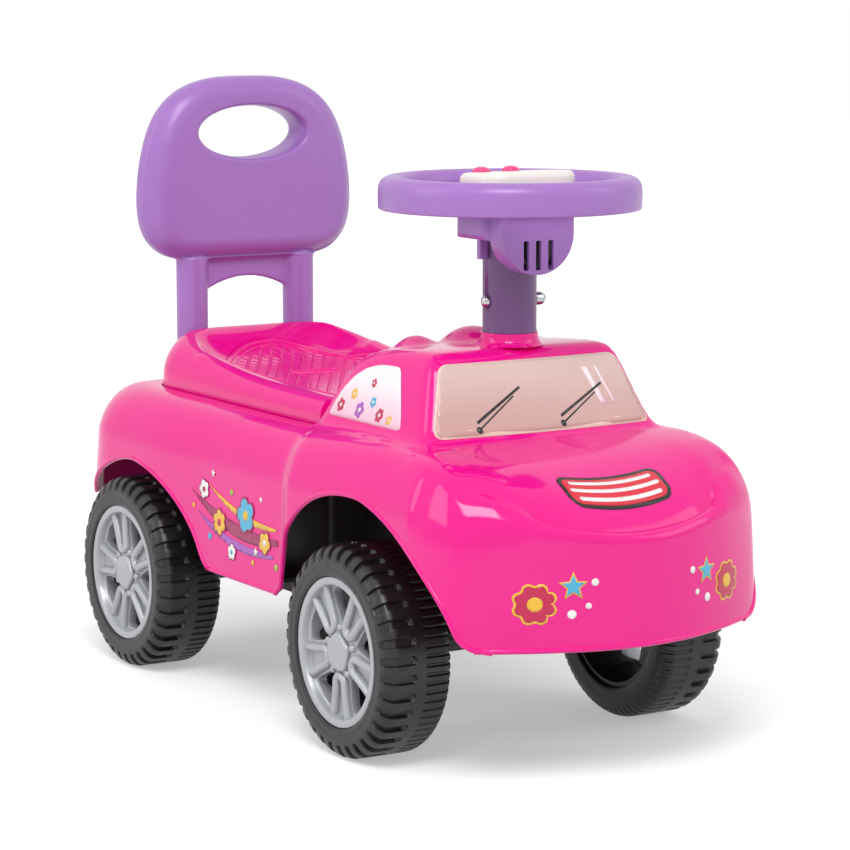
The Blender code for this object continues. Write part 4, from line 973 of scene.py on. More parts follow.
def arch_outline(mid_y: float, top_z: float, front: tuple[float, float, float],
                 back: tuple[float, float, float], steps: int = 60) -> list[Point2]:
    """A wheel arch in (y, z), rounded out into the skirt at its feet.

    Args:
        mid_y: the arch's middle.
        top_z: its top.
        front: the front side's reach, fullness and foot radius.
        back: the same for the back side.
        steps: outline points for each side.

    Returns:
        The outline's points, closed below the skirt.
    """
    points = []
    for side, (reach, fullness, foot), order in ((1, back, range(steps + 1)),
                                                 (-1, front, range(steps - 1, -1, -1))):
        for step in order:
            angle = step / steps * pi / 2
            y = mid_y + side * reach * cos(angle) ** (2 / fullness)
            z = SKIRT_Z + (top_z - SKIRT_Z) * sin(angle) ** (2 / fullness)
            near = max(0.0, 1 - (z - SKIRT_Z) / foot)
            points.append((y + side * foot * (1 - sqrt(1 - near * near)), z))
    below = SKIRT_Z - 0.010
    return [(mid_y + back[0] + back[2], below)] + points + [(mid_y - front[0] - front[2], below)]


FRONT_ARCH = arch_outline(-0.125, 0.160, (0.105, 1.65, 0.0100), (0.091, 2.3, 0.0070))
REAR_ARCH = arch_outline(0.174, 0.1428, (0.103, 1.6, 0.0120), (0.086, 1.7, 0.0040))


@dataclass
class BodyShell:
    """The blow-moulded shell: one skin with a wall, cut for the wheels, the seat and the column."""

    wall: float = 0.0026
    lip_radius: float = 0.0017
    skin: BVHTree | None = None

    def build(self) -> None:
        """Build the shell and its rolled lips, and keep its skin for the printed films."""
        bm = body_skin()
        self.skin = BVHTree.FromBMesh(bm)
        piece = as_object("shell_moulding", bm, PINK, 50)
        shell(piece, self.wall)
        for outline in (FRONT_ARCH, REAR_ARCH):
            cut(piece, prism(outline, -0.14, 0.14, Axis.X))
        opening = rounded_outline(0.0812, -0.0272, 0.2302, 0.0522, 12, front_radius=0.004)
        cut(piece, prism(opening, 0.150, 0.30))
        bore = turned([(0, 0.20), (ROOF_BORE_RADIUS, 0.20), (ROOF_BORE_RADIUS, 0.28), (0, 0.28)], 48)
        cut(piece, moved(bore, (0, COLUMN_Y, 0)))
        piece.data.set_sharp_from_angle(angle=radians(38))
        place_piece(piece, "body", PINK, "body_shell")
        self.lips()

    def wall_place(self, y: float, z: float, side: int) -> Vector:
        """The point of the outer skin beside the car at a place along it and a height.

        Args:
            y: the place along the car.
            z: the height.
            side: 1 or -1, the sign of its X.

        Returns:
            The point.
        """
        start = Vector((side * 0.2, y, z))
        hit = self.skin.ray_cast(start, Vector((-side, 0, 0)))[0]
        return hit or Vector((side * half_width(y), y, z))

    def lips(self) -> None:
        """Lay the rolled lip round each arch and along the skirts, as one tube a run."""
        parts = []
        inset = self.lip_radius * 0.35
        for side in Side:
            for outline in (FRONT_ARCH, REAR_ARCH):
                inside = [p for p in outline[1:-1] if p[1] >= skirt_bottom(p[0]) - 1e-6][::2]
                path = []
                for y, z in inside:
                    place = self.wall_place(y, min(z, 0.1595), side.value)
                    path.append(Vector((place.x - side.value * inset, y, z)))
                parts.append(tube(path, self.lip_radius, 10))
        for side in Side:
            stretch = [y / 1000 for y in range(-28, 61, 4)]
            path = [self.wall_place(y, skirt_bottom(y) + 0.0008, side.value)
                    - Vector((side.value * inset, 0, 0)) for y in stretch]
            parts.append(tube(path, self.lip_radius, 10))
        parts.append(self.bumper_lip())
        lip = as_object("shell_rolled_lip", joined(parts), PINK, 50)
        place_piece(lip, "body", PINK)

    def bumper_lip(self) -> bmesh.types.BMesh:
        """The rolled lip along the bumper's lower edge, from one arch round to the other.

        Returns:
            The lip as a tube.
        """
        path = []
        for step in range(61):
            angle = radians(-139.4 + 98.8 * step / 60)
            away = Vector((cos(angle), sin(angle), 0))
            start = Vector((0, -0.150, SKIRT_Z + 0.0010)) + away * 0.3
            hit = self.skin.ray_cast(start, -away)[0]
            if hit:
                path.append(hit - away * self.lip_radius * 0.35)
        return tube(path, self.lip_radius, 10)


# Printed films

@dataclass
class Printer:
    """Lays thin printed films on the shell by casting flat outlines on to its skin."""

    skin: BVHTree
    pitch: float = 0.003
    thickness: float = 0.08 * MM

    def film(self, name: str, outline: Sequence[Point2], layer: int, finish: Finish,
             eye: Callable[[Point2], tuple[Vector, Vector]]) -> None:
        """Lay one closed outline on the skin.

        Args:
            name: the piece's name.
            outline: its points in the flat.
            layer: how many films lie under it.
            finish: its ink.
            eye: turns a flat point into a ray's start and its direction.
        """
        bm = bmesh.new()
        bm.faces.new([bm.verts.new((a, b, 0)) for a, b in outline])
        bmesh.ops.triangulate(bm, faces=bm.faces[:])
        for index in (0, 1):
            low = min(v.co[index] for v in bm.verts)
            high = max(v.co[index] for v in bm.verts)
            normal = Vector((1, 0, 0)) if index == 0 else Vector((0, 1, 0))
            for step in range(1, int((high - low) / self.pitch) + 1):
                bmesh.ops.bisect_plane(bm, geom=bm.verts[:] + bm.edges[:] + bm.faces[:], dist=1e-6,
                                       plane_co=normal * (low + step * self.pitch), plane_no=normal)
        lost = []
        for vert in bm.verts:
            start, along = eye((vert.co.x, vert.co.y))
            hit, normal, _, _ = self.skin.ray_cast(start, along)
            if hit is None:
                lost.append(vert)
                continue
            outward = normal if normal.dot(along) < 0 else -normal
            vert.co = hit + outward * (0.10 + 0.09 * layer) * MM
        bmesh.ops.delete(bm, geom=lost, context="VERTS")
        bmesh.ops.recalc_face_normals(bm, faces=bm.faces[:])
        bm.faces.ensure_lookup_table()
        start, along = eye(outline[0])
        if bm.faces and bm.faces[0].normal.dot(along) > 0:
            bmesh.ops.reverse_faces(bm, faces=bm.faces[:])
        piece = as_object(name, bm, finish, 60)
        shell(piece, self.thickness, 1.0, even=False)
        place_piece(piece, "body", finish)

    @staticmethod
    def from_front(point: Point2) -> tuple[Vector, Vector]:
        """A ray towards the tail at an (x, z)."""
        return Vector((point[0], -0.5, point[1])), Vector((0, 1, 0))

    @staticmethod
    def from_above(point: Point2) -> tuple[Vector, Vector]:
        """A ray down at an (x, y)."""
        return Vector((point[0], point[1], 0.5)), Vector((0, 0, -1))

    @staticmethod
    def from_side(side: Side) -> Callable[[Point2], tuple[Vector, Vector]]:
        """Rays towards the middle at a (y, z), from one side."""
        return lambda p: (Vector((side.value * 0.3, p[0], p[1])), Vector((-side.value, 0, 0)))


def petals(centre: Point2, radius: float, count: int, depth: float = 0.35, turn: float = 0.0,
           squash: float = 1.0, steps: int = 72) -> list[Point2]:
    """A rounded flower outline with a number of petals.

    Args:
        centre: its middle.
        radius: to the petals' tips.
        count: how many petals.
        depth: how far the notches go in, as a part of the radius.
        turn: its rotation in degrees.
        squash: its height as a part of its width.
        steps: outline points.

    Returns:
        The outline's points.
    """
    points = []
    for step in range(steps):
        angle = tau * step / steps
        wave = abs(cos(count * (angle - radians(turn)) / 2))
        reach = radius * (1 - depth + depth * wave**0.6)
        points.append((centre[0] + reach * cos(angle), centre[1] + squash * reach * sin(angle)))
    return points


def star(centre: Point2, radius: float, count: int = 5, inner: float = 0.45,
         turn: float = 90.0) -> list[Point2]:
    """A star outline with straight sides.

    Args:
        centre: its middle.
        radius: to its tips.
        count: how many tips.
        inner: the notches' radius as a part of the radius.
        turn: the first tip's angle in degrees.

    Returns:
        The outline's points.
    """
    return [(centre[0] + radius * (1 if k % 2 == 0 else inner) * cos(radians(turn) + pi * k / count),
             centre[1] + radius * (1 if k % 2 == 0 else inner) * sin(radians(turn) + pi * k / count))
            for k in range(2 * count)]


def disc(centre: Point2, radius: float, steps: int = 28, squash: float = 1.0) -> list[Point2]:
    """A round or oval outline."""
    return [(centre[0] + radius * cos(tau * k / steps), centre[1] + squash * radius * sin(tau * k / steps))
            for k in range(steps)]


def ribbon(spine: Sequence[Point2], widths: Sequence[float]) -> list[Point2]:
    """A band along a spine with a half width at each of its points.

    Args:
        spine: the middle line's points.
        widths: the half width at each.

    Returns:
        The outline's points.
    """
    left, right = [], []
    for index, (point, width) in enumerate(zip(spine, widths)):
        before = Vector(spine[max(index - 1, 0)])
        after = Vector(spine[min(index + 1, len(spine) - 1)])
        along = (after - before).normalized()
        across = Vector((-along.y, along.x)) * width
        left.append(tuple(Vector(point) + across))
        right.append(tuple(Vector(point) - across))
    return left + right[::-1]


def round_corners(points: Sequence[Point2], radius: float, steps: int = 6) -> list[Point2]:
    """Round each corner of a closed outline with a short curve.

    Args:
        points: the corners in order.
        radius: how far from a corner its curve starts.
        steps: curve points for each corner.

    Returns:
        The rounded outline.
    """
    count, out = len(points), []
    for index in range(count):
        before, corner, after = (Vector(points[(index + k) % count]) for k in (-1, 0, 1))
        start = corner + (before - corner).normalized() * min(radius, (before - corner).length * 0.48)
        end = corner + (after - corner).normalized() * min(radius, (after - corner).length * 0.48)
        for step in range(steps + 1):
            t = step / steps
            out.append(tuple(start * (1 - t) ** 2 + corner * 2 * t * (1 - t) + end * t * t))
    return out


@dataclass
class Artwork:
    """Generic printed decoration: windows, wipers, a grille and small flowers."""

    printer: Printer

    def build(self) -> None:
        """Print every film."""
        self.screen()
        self.grille()
        for side in Side:
            self.pane(side)
            self.door(side)
            self.bumper(side)

    def screen(self) -> None:
        """The windscreen panel with its two wipers and glints."""
        low, high, foot, head = HOOD_TOP_Z + 0.0020, 0.2365, 0.0781425, 0.063345
        eye = Printer.from_front
        corners = [(-foot, low), (foot, low), (head, high), (-head, high)]
        outline = round_corners(corners, 0.0060)
        self.printer.film("windscreen_film_printed", outline, 0, EDGE_FILM, eye)
        inset = [(x * 0.985, low + 0.0009 if z == low else high - 0.0009) for x, z in corners]
        inner = round_corners(inset, 0.0056)
        self.printer.film("windscreen_panel_printed", inner, 1, SCREEN_FILM, eye)
        for index, (x, lean) in enumerate(((-0.047, 0.55), (0.012, 0.5))):
            start, end = (x, low + 0.0035), (x + 0.034 * cos(lean), low + 0.0035 + 0.034 * sin(lean))
            self.printer.film(f"wiper_arm_{index}", ribbon([start, end], [0.0005, 0.0004]), 2, INK_BLACK, eye)
            middle = (Vector(start) + Vector(end)) / 2
            blade = Vector((cos(lean - 0.06), sin(lean - 0.06))) * 0.0195
            shift = Vector((-sin(lean), cos(lean))) * 0.0028 + Vector((0.004, 0.002))
            ends = [tuple(middle + shift - blade), tuple(middle + shift + blade)]
            self.printer.film(f"wiper_blade_{index}", ribbon(ends, [0.0008, 0.0007]), 3, INK_BLACK, eye)
            self.printer.film(f"wiper_foot_{index}", disc(start, 0.0019), 4, INK_BLACK, eye)
        for index, (x, width) in enumerate(((0.044, 0.0042), (0.0535, 0.0018))):
            glint = [(x, low + 0.012), (x + width, low + 0.012), (x + width - 0.009, high - 0.007),
                     (x - 0.009, high - 0.007)]
            self.printer.film(f"screen_glint_{index}", glint, 2, PANE_FILM, eye)

    def grille(self) -> None:
        """A plain grille print on the bonnet's front slope."""
        eye = Printer.from_above

        def bent(points: Sequence[Point2]) -> list[Point2]:
            """Follow the nose's curve seen from above."""
            return [(x, y + 3.3 * x * x) for x, y in points]
        frame = rounded_outline(0.036, -0.2475, -0.2235, 0.0075, 10)
        self.printer.film("grille_print_frame", bent(self.fine(frame)), 0, INK_BLACK, eye)
        inner = rounded_outline(0.0335, -0.2452, -0.2258, 0.0055, 10)
        self.printer.film("grille_print_red", bent(self.fine(inner)), 1, INK_RED, eye)
        for index in range(3):
            y = -0.2416 + 0.0061 * index
            half = (0.029, 0.0312, 0.029)[index]
            bar = rounded_outline(half, y - 0.0013, y + 0.0013, 0.00125, 5)
            self.printer.film(f"grille_print_bar_{index}", bent(self.fine(bar)), 2, INK_WHITE, eye)

    @staticmethod
    def fine(outline: Sequence[Point2], step: float = 0.004) -> list[Point2]:
        """Add points along an outline's long sides so that it can bend.

        Args:
            outline: the outline.
            step: about how far apart the points may lie.

        Returns:
            The outline with more points.
        """
        out: list[Point2] = []
        for (ax, ay), (bx, by) in zip(outline, list(outline[1:]) + [outline[0]]):
            count = max(1, int(sqrt((bx - ax) ** 2 + (by - ay) ** 2) / step))
            out += [(ax + (bx - ax) * k / count, ay + (by - ay) * k / count) for k in range(count)]
        return out

    def pane(self, side: Side) -> None:
        """A side window with a few flowers and dots along its foot.

        Args:
            side: the side it is on.
        """
        eye = Printer.from_side(side)
        name = side.name.lower()
        outline = [(-0.1275, 0.1965), (-0.0405, 0.1965), (-0.0430, 0.2050), (-0.0490, 0.2140),
                   (-0.0580, 0.2220), (-0.0700, 0.2280), (-0.0850, 0.2313), (-0.1070, 0.2320)]
        self.printer.film(f"pane_film_{name}", round_corners(outline, 0.0045), 0, PANE_FILM, eye)
        marks = ((-0.052, 0.2035, 0.0042, 5, INK_ROSE), (-0.064, 0.2115, 0.0036, 6, INK_GOLD),
                 (-0.075, 0.2030, 0.0050, 5, INK_LILAC), (-0.088, 0.2090, 0.0034, 5, INK_BLUE),
                 (-0.099, 0.2025, 0.0044, 6, INK_ROSE), (-0.111, 0.2010, 0.0030, 5, INK_GOLD),
                 (-0.083, 0.2200, 0.0028, 5, INK_ROSE))
        for index, (y, z, radius, count, finish) in enumerate(marks):
            flower = petals((y, z), radius, count, turn=17 * index)
            self.printer.film(f"pane_flower_{name}_{index}", flower, 1, finish, eye)
            self.printer.film(f"pane_eye_{name}_{index}", disc((y, z), radius * 0.3, 14), 2, INK_WHITE, eye)

    def door(self, side: Side) -> None:
        """The door decoration: a swoosh of three inks with flowers, dots and small stars.

        Args:
            side: the side it is on.
        """
        eye = Printer.from_side(side)
        name = side.name.lower()
        swooshes = (("magenta", INK_MAGENTA, (-0.030, 0.1160), (0.030, 0.1080), (0.086, 0.1335), 0.0040),
                    ("lilac", INK_LILAC, (-0.024, 0.1060), (0.038, 0.1010), (0.078, 0.1210), 0.0024),
                    ("gold", INK_GOLD, (-0.027, 0.1235), (0.020, 0.1205), (0.064, 0.1405), 0.0019))
        for layer, (label, finish, start, bend, end, width) in enumerate(swooshes):
            spine = []
            for step in range(25):
                t = step / 24
                spine.append(tuple((1 - t) ** 2 * Vector(start) + 2 * t * (1 - t) * Vector(bend)
                                   + t * t * Vector(end)))
            widths = [width * (0.12 + sin(pi * min(1.0, 0.08 + t / 25)) ** 0.8) for t in range(25)]
            self.printer.film(f"door_swoosh_{label}_{name}", ribbon(spine, widths), layer, finish, eye)
        flowers = ((0.0130, 0.1270, 0.0108, 5, INK_BLUE, INK_GOLD),
                   (0.0480, 0.1175, 0.0082, 6, INK_GOLD, INK_ROSE),
                   (-0.0130, 0.1135, 0.0070, 5, INK_GOLD, INK_WHITE),
                   (0.0700, 0.1360, 0.0062, 5, INK_WHITE, INK_ROSE),
                   (0.0300, 0.1010, 0.0052, 5, INK_WHITE, INK_BLUE))
        for index, (y, z, radius, count, finish, middle) in enumerate(flowers):
            edge = petals((y, z), radius * 1.14, count, 0.32, 23 * index)
            flower = petals((y, z), radius, count, 0.35, 23 * index)
            self.printer.film(f"door_edge_{name}_{index}", edge, 3, INK_MAGENTA, eye)
            self.printer.film(f"door_flower_{name}_{index}", flower, 4, finish, eye)
            self.printer.film(f"door_eye_{name}_{index}", disc((y, z), radius * 0.3, 18), 5, middle, eye)
        dots = ((-0.0285, 0.1005, 0.0022, INK_GREEN), (0.0020, 0.0985, 0.0018, INK_GOLD),
                (0.0610, 0.1065, 0.0024, INK_BLUE), (0.0330, 0.1390, 0.0020, INK_GREEN),
                (-0.0060, 0.1400, 0.0016, INK_WHITE), (0.0840, 0.1235, 0.0018, INK_GOLD))
        for index, (y, z, radius, finish) in enumerate(dots):
            self.printer.film(f"door_dot_{name}_{index}", disc((y, z), radius, 18), 1, finish, eye)
        for index, (y, z, radius) in enumerate(((-0.0020, 0.1060, 0.0034), (0.0580, 0.1480, 0.0030))):
            self.printer.film(f"door_star_{name}_{index}", star((y, z), radius), 5, INK_WHITE, eye)

    def bumper(self, side: Side) -> None:
        """The bumper's flowers and star on one side.

        Args:
            side: the side they are on.
        """
        eye = Printer.from_front
        name = side.name.lower()
        sign = side.value
        big = (sign * 0.0680, 0.1120)
        self.printer.film(f"bumper_edge_{name}", petals(big, 0.0125, 8, 0.26, 22), 0, INK_GOLD, eye)
        self.printer.film(f"bumper_flower_{name}", petals(big, 0.0112, 8, 0.30, 22), 1, INK_ROSE, eye)
        self.printer.film(f"bumper_eye_{name}", disc(big, 0.0042, 26), 2, INK_GOLD, eye)
        small = (sign * 0.0470, 0.1215)
        self.printer.film(f"bumper_star_edge_{name}", star(small, 0.0088), 0, INK_GOLD, eye)
        self.printer.film(f"bumper_star_{name}", star(small, 0.0068), 1, INK_BLUE, eye)
        for index, (x, z, radius) in enumerate(((0.0480, 0.1055, 0.0026), (0.0385, 0.1100, 0.0018),
                                                (0.0345, 0.1235, 0.0022))):
            dot = disc((sign * x, z), radius, 20)
            self.printer.film(f"bumper_dot_{name}_{index}", dot, 0, INK_WHITE, eye)


# Seat and lid

SEAT_HALF_WIDTH = 0.079
SEAT_FRONT_Y = -0.0250
SEAT_TAIL_Y = 0.228
SEAT_CORNER_RADIUS = 0.050
SEAT_WALL = 0.0042
SEAT_FOOT_Z = 0.1760
SEAT_SHOULDER_Z = 0.1930
SEAT_REACH = 0.0665
SEAT_CUT_Z = (0.15, 0.26)
POST_SOCKET_RADIUS = 0.0113
LID_THICKNESS = 0.0022
LID_STRAIGHT_Y = 0.110
LID_SWING_RADIUS = 0.0066
NET_MARGIN = 0.0085
LID_HALF_WIDTH = 0.060
LID_TIP_Y = 0.193
LID_HINGE_Y = -0.0135
FINGER_Y = 0.118
HINGE_PLACE = (0.0, LID_HINGE_Y - 0.0020, 0.1985)
HINGE_RADIUS = 0.0028
HINGE_PIN_ROOM = 0.0016
KNUCKLE_SPLIT = 0.018
KNUCKLE_END = 0.034
SEAT_ROWS = (-0.0205, -0.0100, 0.005, 0.040, 0.090, 0.130, 0.160, 0.182, 0.198, 0.212)
SEAT_COLUMNS = (0.0, 0.40, 0.72, 0.86, 1.0)
RIM_LINE = ((-0.030, 0.2035), (0.080, 0.2060), (0.160, 0.2145), (0.192, 0.2215), (0.204, 0.2236),
            (0.212, 0.2240))
DISH_LINE = ((-0.030, 0.1985), (0.050, 0.1990), (0.130, 0.2005), (0.170, 0.2042), (0.186, 0.2110),
             (0.200, 0.2195), (0.212, 0.2240))


def seat_crown(across: float, row: float) -> Point2:
    """Where a grid point of the seat lies, seen from above."""
    to_tail = max(0.0, (row - 0.120) / 0.092)
    return across * (SEAT_REACH - 0.016 * to_tail**3), row - 0.012 * to_tail**2 * across**4


def seat_rim(across: float, row: float, on_row: bool) -> Point2:
    """Where the seat's edge point comes to lie on its widest outline.

    Args:
        across: the place across, from -1 to 1.
        row: the place along the middle line.
        on_row: whether it is on the first or last row.

    Returns:
        Its X and Y.
    """
    half, corner = SEAT_HALF_WIDTH - 0.0003, SEAT_CORNER_RADIUS
    inset = corner * (1 - cos(pi / 4))
    y_front, y_back = SEAT_FRONT_Y, SEAT_TAIL_Y - inset
    if on_row and row < 0:
        return across * half, y_front
    if on_row:
        return across * (half - inset), SEAT_TAIL_Y - inset * abs(across) ** 3
    first, last = seat_crown(1, SEAT_ROWS[0])[1], seat_crown(1, SEAT_ROWS[-1])[1]
    y = y_front + (seat_crown(1, row)[1] - first) / (last - first) * (y_back - y_front)
    tail = max(0.0, (y - (SEAT_TAIL_Y - corner)) / (corner - inset))
    return (1 if across > 0 else -1) * (half - inset * tail**3), y


def seat_height(x: float, y: float, row: float) -> float:
    """Height of the seat: a dish within its rim, rising to a crest at the tail."""
    rim, dish = curve_through(RIM_LINE, row), curve_through(DISH_LINE, row)
    return dish + (rim - dish) * smooth_step(abs(x), 0.044, 0.066) + 0.4 * x * x * (1 - abs(x) / 0.07)


def seat_skin(pitch: float = 0.003) -> bmesh.types.BMesh:
    """The seat's outer skin on a fine grid.

    Args:
        pitch: about the step between rows and between columns.

    Returns:
        An open skin, facing out.
    """
    steps = 9
    levels = [shoulder_level(step / steps, SEAT_SHOULDER_Z) for step in range(1, steps + 1)]
    levels += [wall_level(step / 4, SEAT_SHOULDER_Z, lambda y: SEAT_FOOT_Z, 0.0) for step in range(1, 5)]
    columns = refined([c * SEAT_REACH for c in SEAT_COLUMNS], pitch)
    bm = moulded_skin([c / SEAT_REACH for c in columns], refined(SEAT_ROWS, pitch), seat_crown, seat_height,
                      seat_rim, levels)
    crest = [v for v in bm.verts if v.co.z > 0.180 and v.co.y > 0.155]
    for _ in range(10):
        bmesh.ops.smooth_vert(bm, verts=crest, factor=0.5, use_axis_x=False, use_axis_y=False,
                              use_axis_z=True)
    return bm


def lid_outline(grow: float = 0.0, tip_steps: int = 48) -> list[Point2]:
    """The lid from above: straight sides from the hinge, then a half oval round the rear tip.

    Args:
        grow: how far the outline stands outside the lid.
        tip_steps: steps round the tip.

    Returns:
        The outline's points.
    """
    half = LID_HALF_WIDTH + grow
    points = [(-half, LID_HINGE_Y - grow), (half, LID_HINGE_Y - grow)]
    for step in range(tip_steps + 1):
        angle = pi * step / tip_steps
        points.append((half * cos(angle),
                       LID_STRAIGHT_Y + (LID_TIP_Y + grow - LID_STRAIGHT_Y) * sin(angle)))
    return points


def seat_layer(name: str, top: float, depth: float) -> bpy.types.Object:
    """The seat's skin as a layer, from top above its surface to depth below it.

    Args:
        name: the object's name.
        top: how far the layer stands above the surface.
        depth: how far it reaches below.

    Returns:
        The layer as an object.
    """
    bm = seat_skin()
    bm.normal_update()
    lift = {vert: vert.normal * top for vert in bm.verts}
    for vert, shift in lift.items():
        vert.co += shift
    layer = as_object(name, bm, PINK, 50)
    shell(layer, top + depth)
    return layer


def upright(radius: float, low: float, high: float, x: float = 0.0, y: float = 0.0,
            steps: int = 48) -> bmesh.types.BMesh:
    """A plain upright cylinder."""
    return moved(turned([(0, low), (radius, low), (radius, high), (0, high)], steps), (x, y, 0))


def barrel(radius: float, low: float, high: float, place: Sequence[float],
           steps: int = 28) -> bmesh.types.BMesh:
    """A plain cylinder along X through a place."""
    return moved(turned([(0, low), (radius, low), (radius, high), (0, high)], steps, Axis.X), place)


@dataclass
class Seat:
    """The seat form with its crest, and the netted lid hinged in it."""

    lip_radius: float = 0.0010

    def build(self) -> None:
        """Build the seat form, the lid and the lid's raised outlines."""
        self.form()
        self.lid()

    def form(self) -> None:
        """The seat form with its rebate, storage mouth, post sockets and knuckles."""
        seat = seat_layer("seat_moulding", 0.0, SEAT_WALL)
        rebate = seat_layer("passing_rebate", 0.006, LID_THICKNESS + 2.5 * GAP)
        cut(rebate, prism(lid_outline(2 * GAP), *SEAT_CUT_Z), "INTERSECT")
        tool = bmesh.new()
        tool.from_mesh(rebate.data)
        bpy.data.objects.remove(rebate, do_unlink=True)
        cut(seat, tool)
        cut(seat, prism(lid_outline(-0.005), *SEAT_CUT_Z))
        for side in Side:
            cut(seat, upright(POST_SOCKET_RADIUS, *SEAT_CUT_Z, side.value * POST_HALF_SPACING, BACK_Y))
            ends = sorted((side.value * (KNUCKLE_END + GAP), side.value * (LID_HALF_WIDTH + 2.4 * GAP)))
            arc = [(HINGE_PLACE[1] + LID_SWING_RADIUS * cos(pi * k / 20),
                    HINGE_PLACE[2] + GAP + LID_SWING_RADIUS * sin(pi * k / 20)) for k in range(21)]
            cut(seat, prism(arc, *ends, Axis.X), solver="MANIFOLD")
        cut(seat, barrel(HINGE_RADIUS + 2 * GAP, -KNUCKLE_SPLIT, KNUCKLE_SPLIT, HINGE_PLACE))
        for low, high in ((KNUCKLE_SPLIT, KNUCKLE_END), (-KNUCKLE_END, -KNUCKLE_SPLIT)):
            cut(seat, barrel(HINGE_RADIUS, low, high, HINGE_PLACE), "UNION")
        cut(seat, barrel(HINGE_PIN_ROOM, -0.05, 0.05, HINGE_PLACE))
        seat.data.set_sharp_from_angle(angle=radians(35))
        place_piece(seat, "body", PINK, "seat_form")

    def lid(self) -> None:
        """The lid with its finger recess, knuckle and raised outlines."""
        lid = seat_layer("lid_moulding", 0.0, LID_THICKNESS)
        cut(lid, prism(lid_outline(), *SEAT_CUT_Z), "INTERSECT")
        bowl = turned([(0, 0.0), (0.55, 0.04), (0.75, 0.12), (0.90, 0.28), (1.0, 0.6), (1.03, 1.0),
                       (1.03, 2.0), (0, 2.0)], 64)
        bmesh.ops.scale(bowl, verts=bowl.verts[:], vec=(0.0175, 0.0065, 0.0042))
        cut(lid, moved(bowl, (0, FINGER_Y, seat_height(0, 0, FINGER_Y) - 0.0014)))
        for side in Side:
            ends = sorted((side.value * (KNUCKLE_SPLIT - GAP / 2), side.value * (KNUCKLE_END + GAP)))
            cut(lid, barrel(HINGE_RADIUS + 2 * GAP, *ends, HINGE_PLACE))
        cut(lid, barrel(HINGE_RADIUS, GAP - KNUCKLE_SPLIT, KNUCKLE_SPLIT - GAP, HINGE_PLACE), "UNION")
        cut(lid, barrel(HINGE_PIN_ROOM, -0.05, 0.05, HINGE_PLACE))
        lid.data.materials.append(PINK_NET.material())
        self.net_faces(lid)
        lid.data.set_sharp_from_angle(angle=radians(35))
        place_piece(lid, "lid", PINK, "storage_lid")
        self.outlines()

    @staticmethod
    def net_faces(lid: bpy.types.Object) -> None:
        """Give the netted material to the top faces inside the inner outline, clear of the recess.

        Args:
            lid: the lid, whose second slot holds the net.
        """
        half, length = LID_HALF_WIDTH - NET_MARGIN, LID_TIP_Y - LID_STRAIGHT_Y - NET_MARGIN
        for face in lid.data.polygons:
            x, y, z = face.center
            beyond = max(0.0, y - LID_STRAIGHT_Y) / length
            reach = half * sqrt(max(0.0, 1 - beyond**2))
            inside = abs(x) < reach and LID_HINGE_Y + NET_MARGIN < y
            recess = (x / 0.0205) ** 2 + ((y - FINGER_Y) / 0.0090) ** 2 < 1
            face.material_index = 1 if inside and not recess and face.normal.z > 0.5 else 0

    def outlines(self) -> None:
        """Raised outlines: two round the lid's edge and one round the finger recess."""
        skin = BVHTree.FromBMesh(seat_skin())
        runs = [(Artwork.fine(lid_outline(-0.0032), 0.003), self.lip_radius),
                (Artwork.fine(lid_outline(-0.0072), 0.003), self.lip_radius * 0.8),
                (disc((0, FINGER_Y), 0.0192, 64, 0.0082 / 0.0192), self.lip_radius * 0.7)]
        parts = []
        for outline, radius in runs:
            path = []
            for x, y in outline:
                hit = skin.ray_cast(Vector((x, y, 0.4)), Vector((0, 0, -1)))[0]
                path.append(hit - Vector((0, 0, radius * 0.25)))
            parts.append(tube(path, radius, 10, closed=True))
        raised = as_object("lid_raised_outlines", joined(parts), PINK, 60)
        place_piece(raised, "lid", PINK)


# Backrest

BACK_HALF_WIDTHS = ((0.2700, 0.0180), (0.2701, 0.0380), (0.2712, 0.0540), (0.2748, 0.0655),
                    (0.2815, 0.0738), (0.2905, 0.0795), (0.3030, 0.0824), (0.3200, 0.0826),
                    (0.3400, 0.0800), (0.3580, 0.0750), (0.3720, 0.0680), (0.3830, 0.0578),
                    (0.3905, 0.0455), (0.3950, 0.0310), (0.3968, 0.0150))


def smooth_loop(points: Sequence[Point2], steps: int = 8) -> list[Point2]:
    """Draw a closed smooth curve through points.

    Args:
        points: the points in order.
        steps: curve points for each span.

    Returns:
        The curve's points.
    """
    count, out = len(points), []
    for index in range(count):
        p0, p1, p2, p3 = (Vector(points[(index + k) % count]) for k in (-1, 0, 1, 2))
        for step in range(steps):
            t = step / steps
            out.append(tuple(0.5 * (2 * p1 + (p2 - p0) * t + (2 * p0 - 5 * p1 + 4 * p2 - p3) * t * t
                                    + (3 * p1 - p0 - 3 * p2 + p3) * t**3)))
    return out


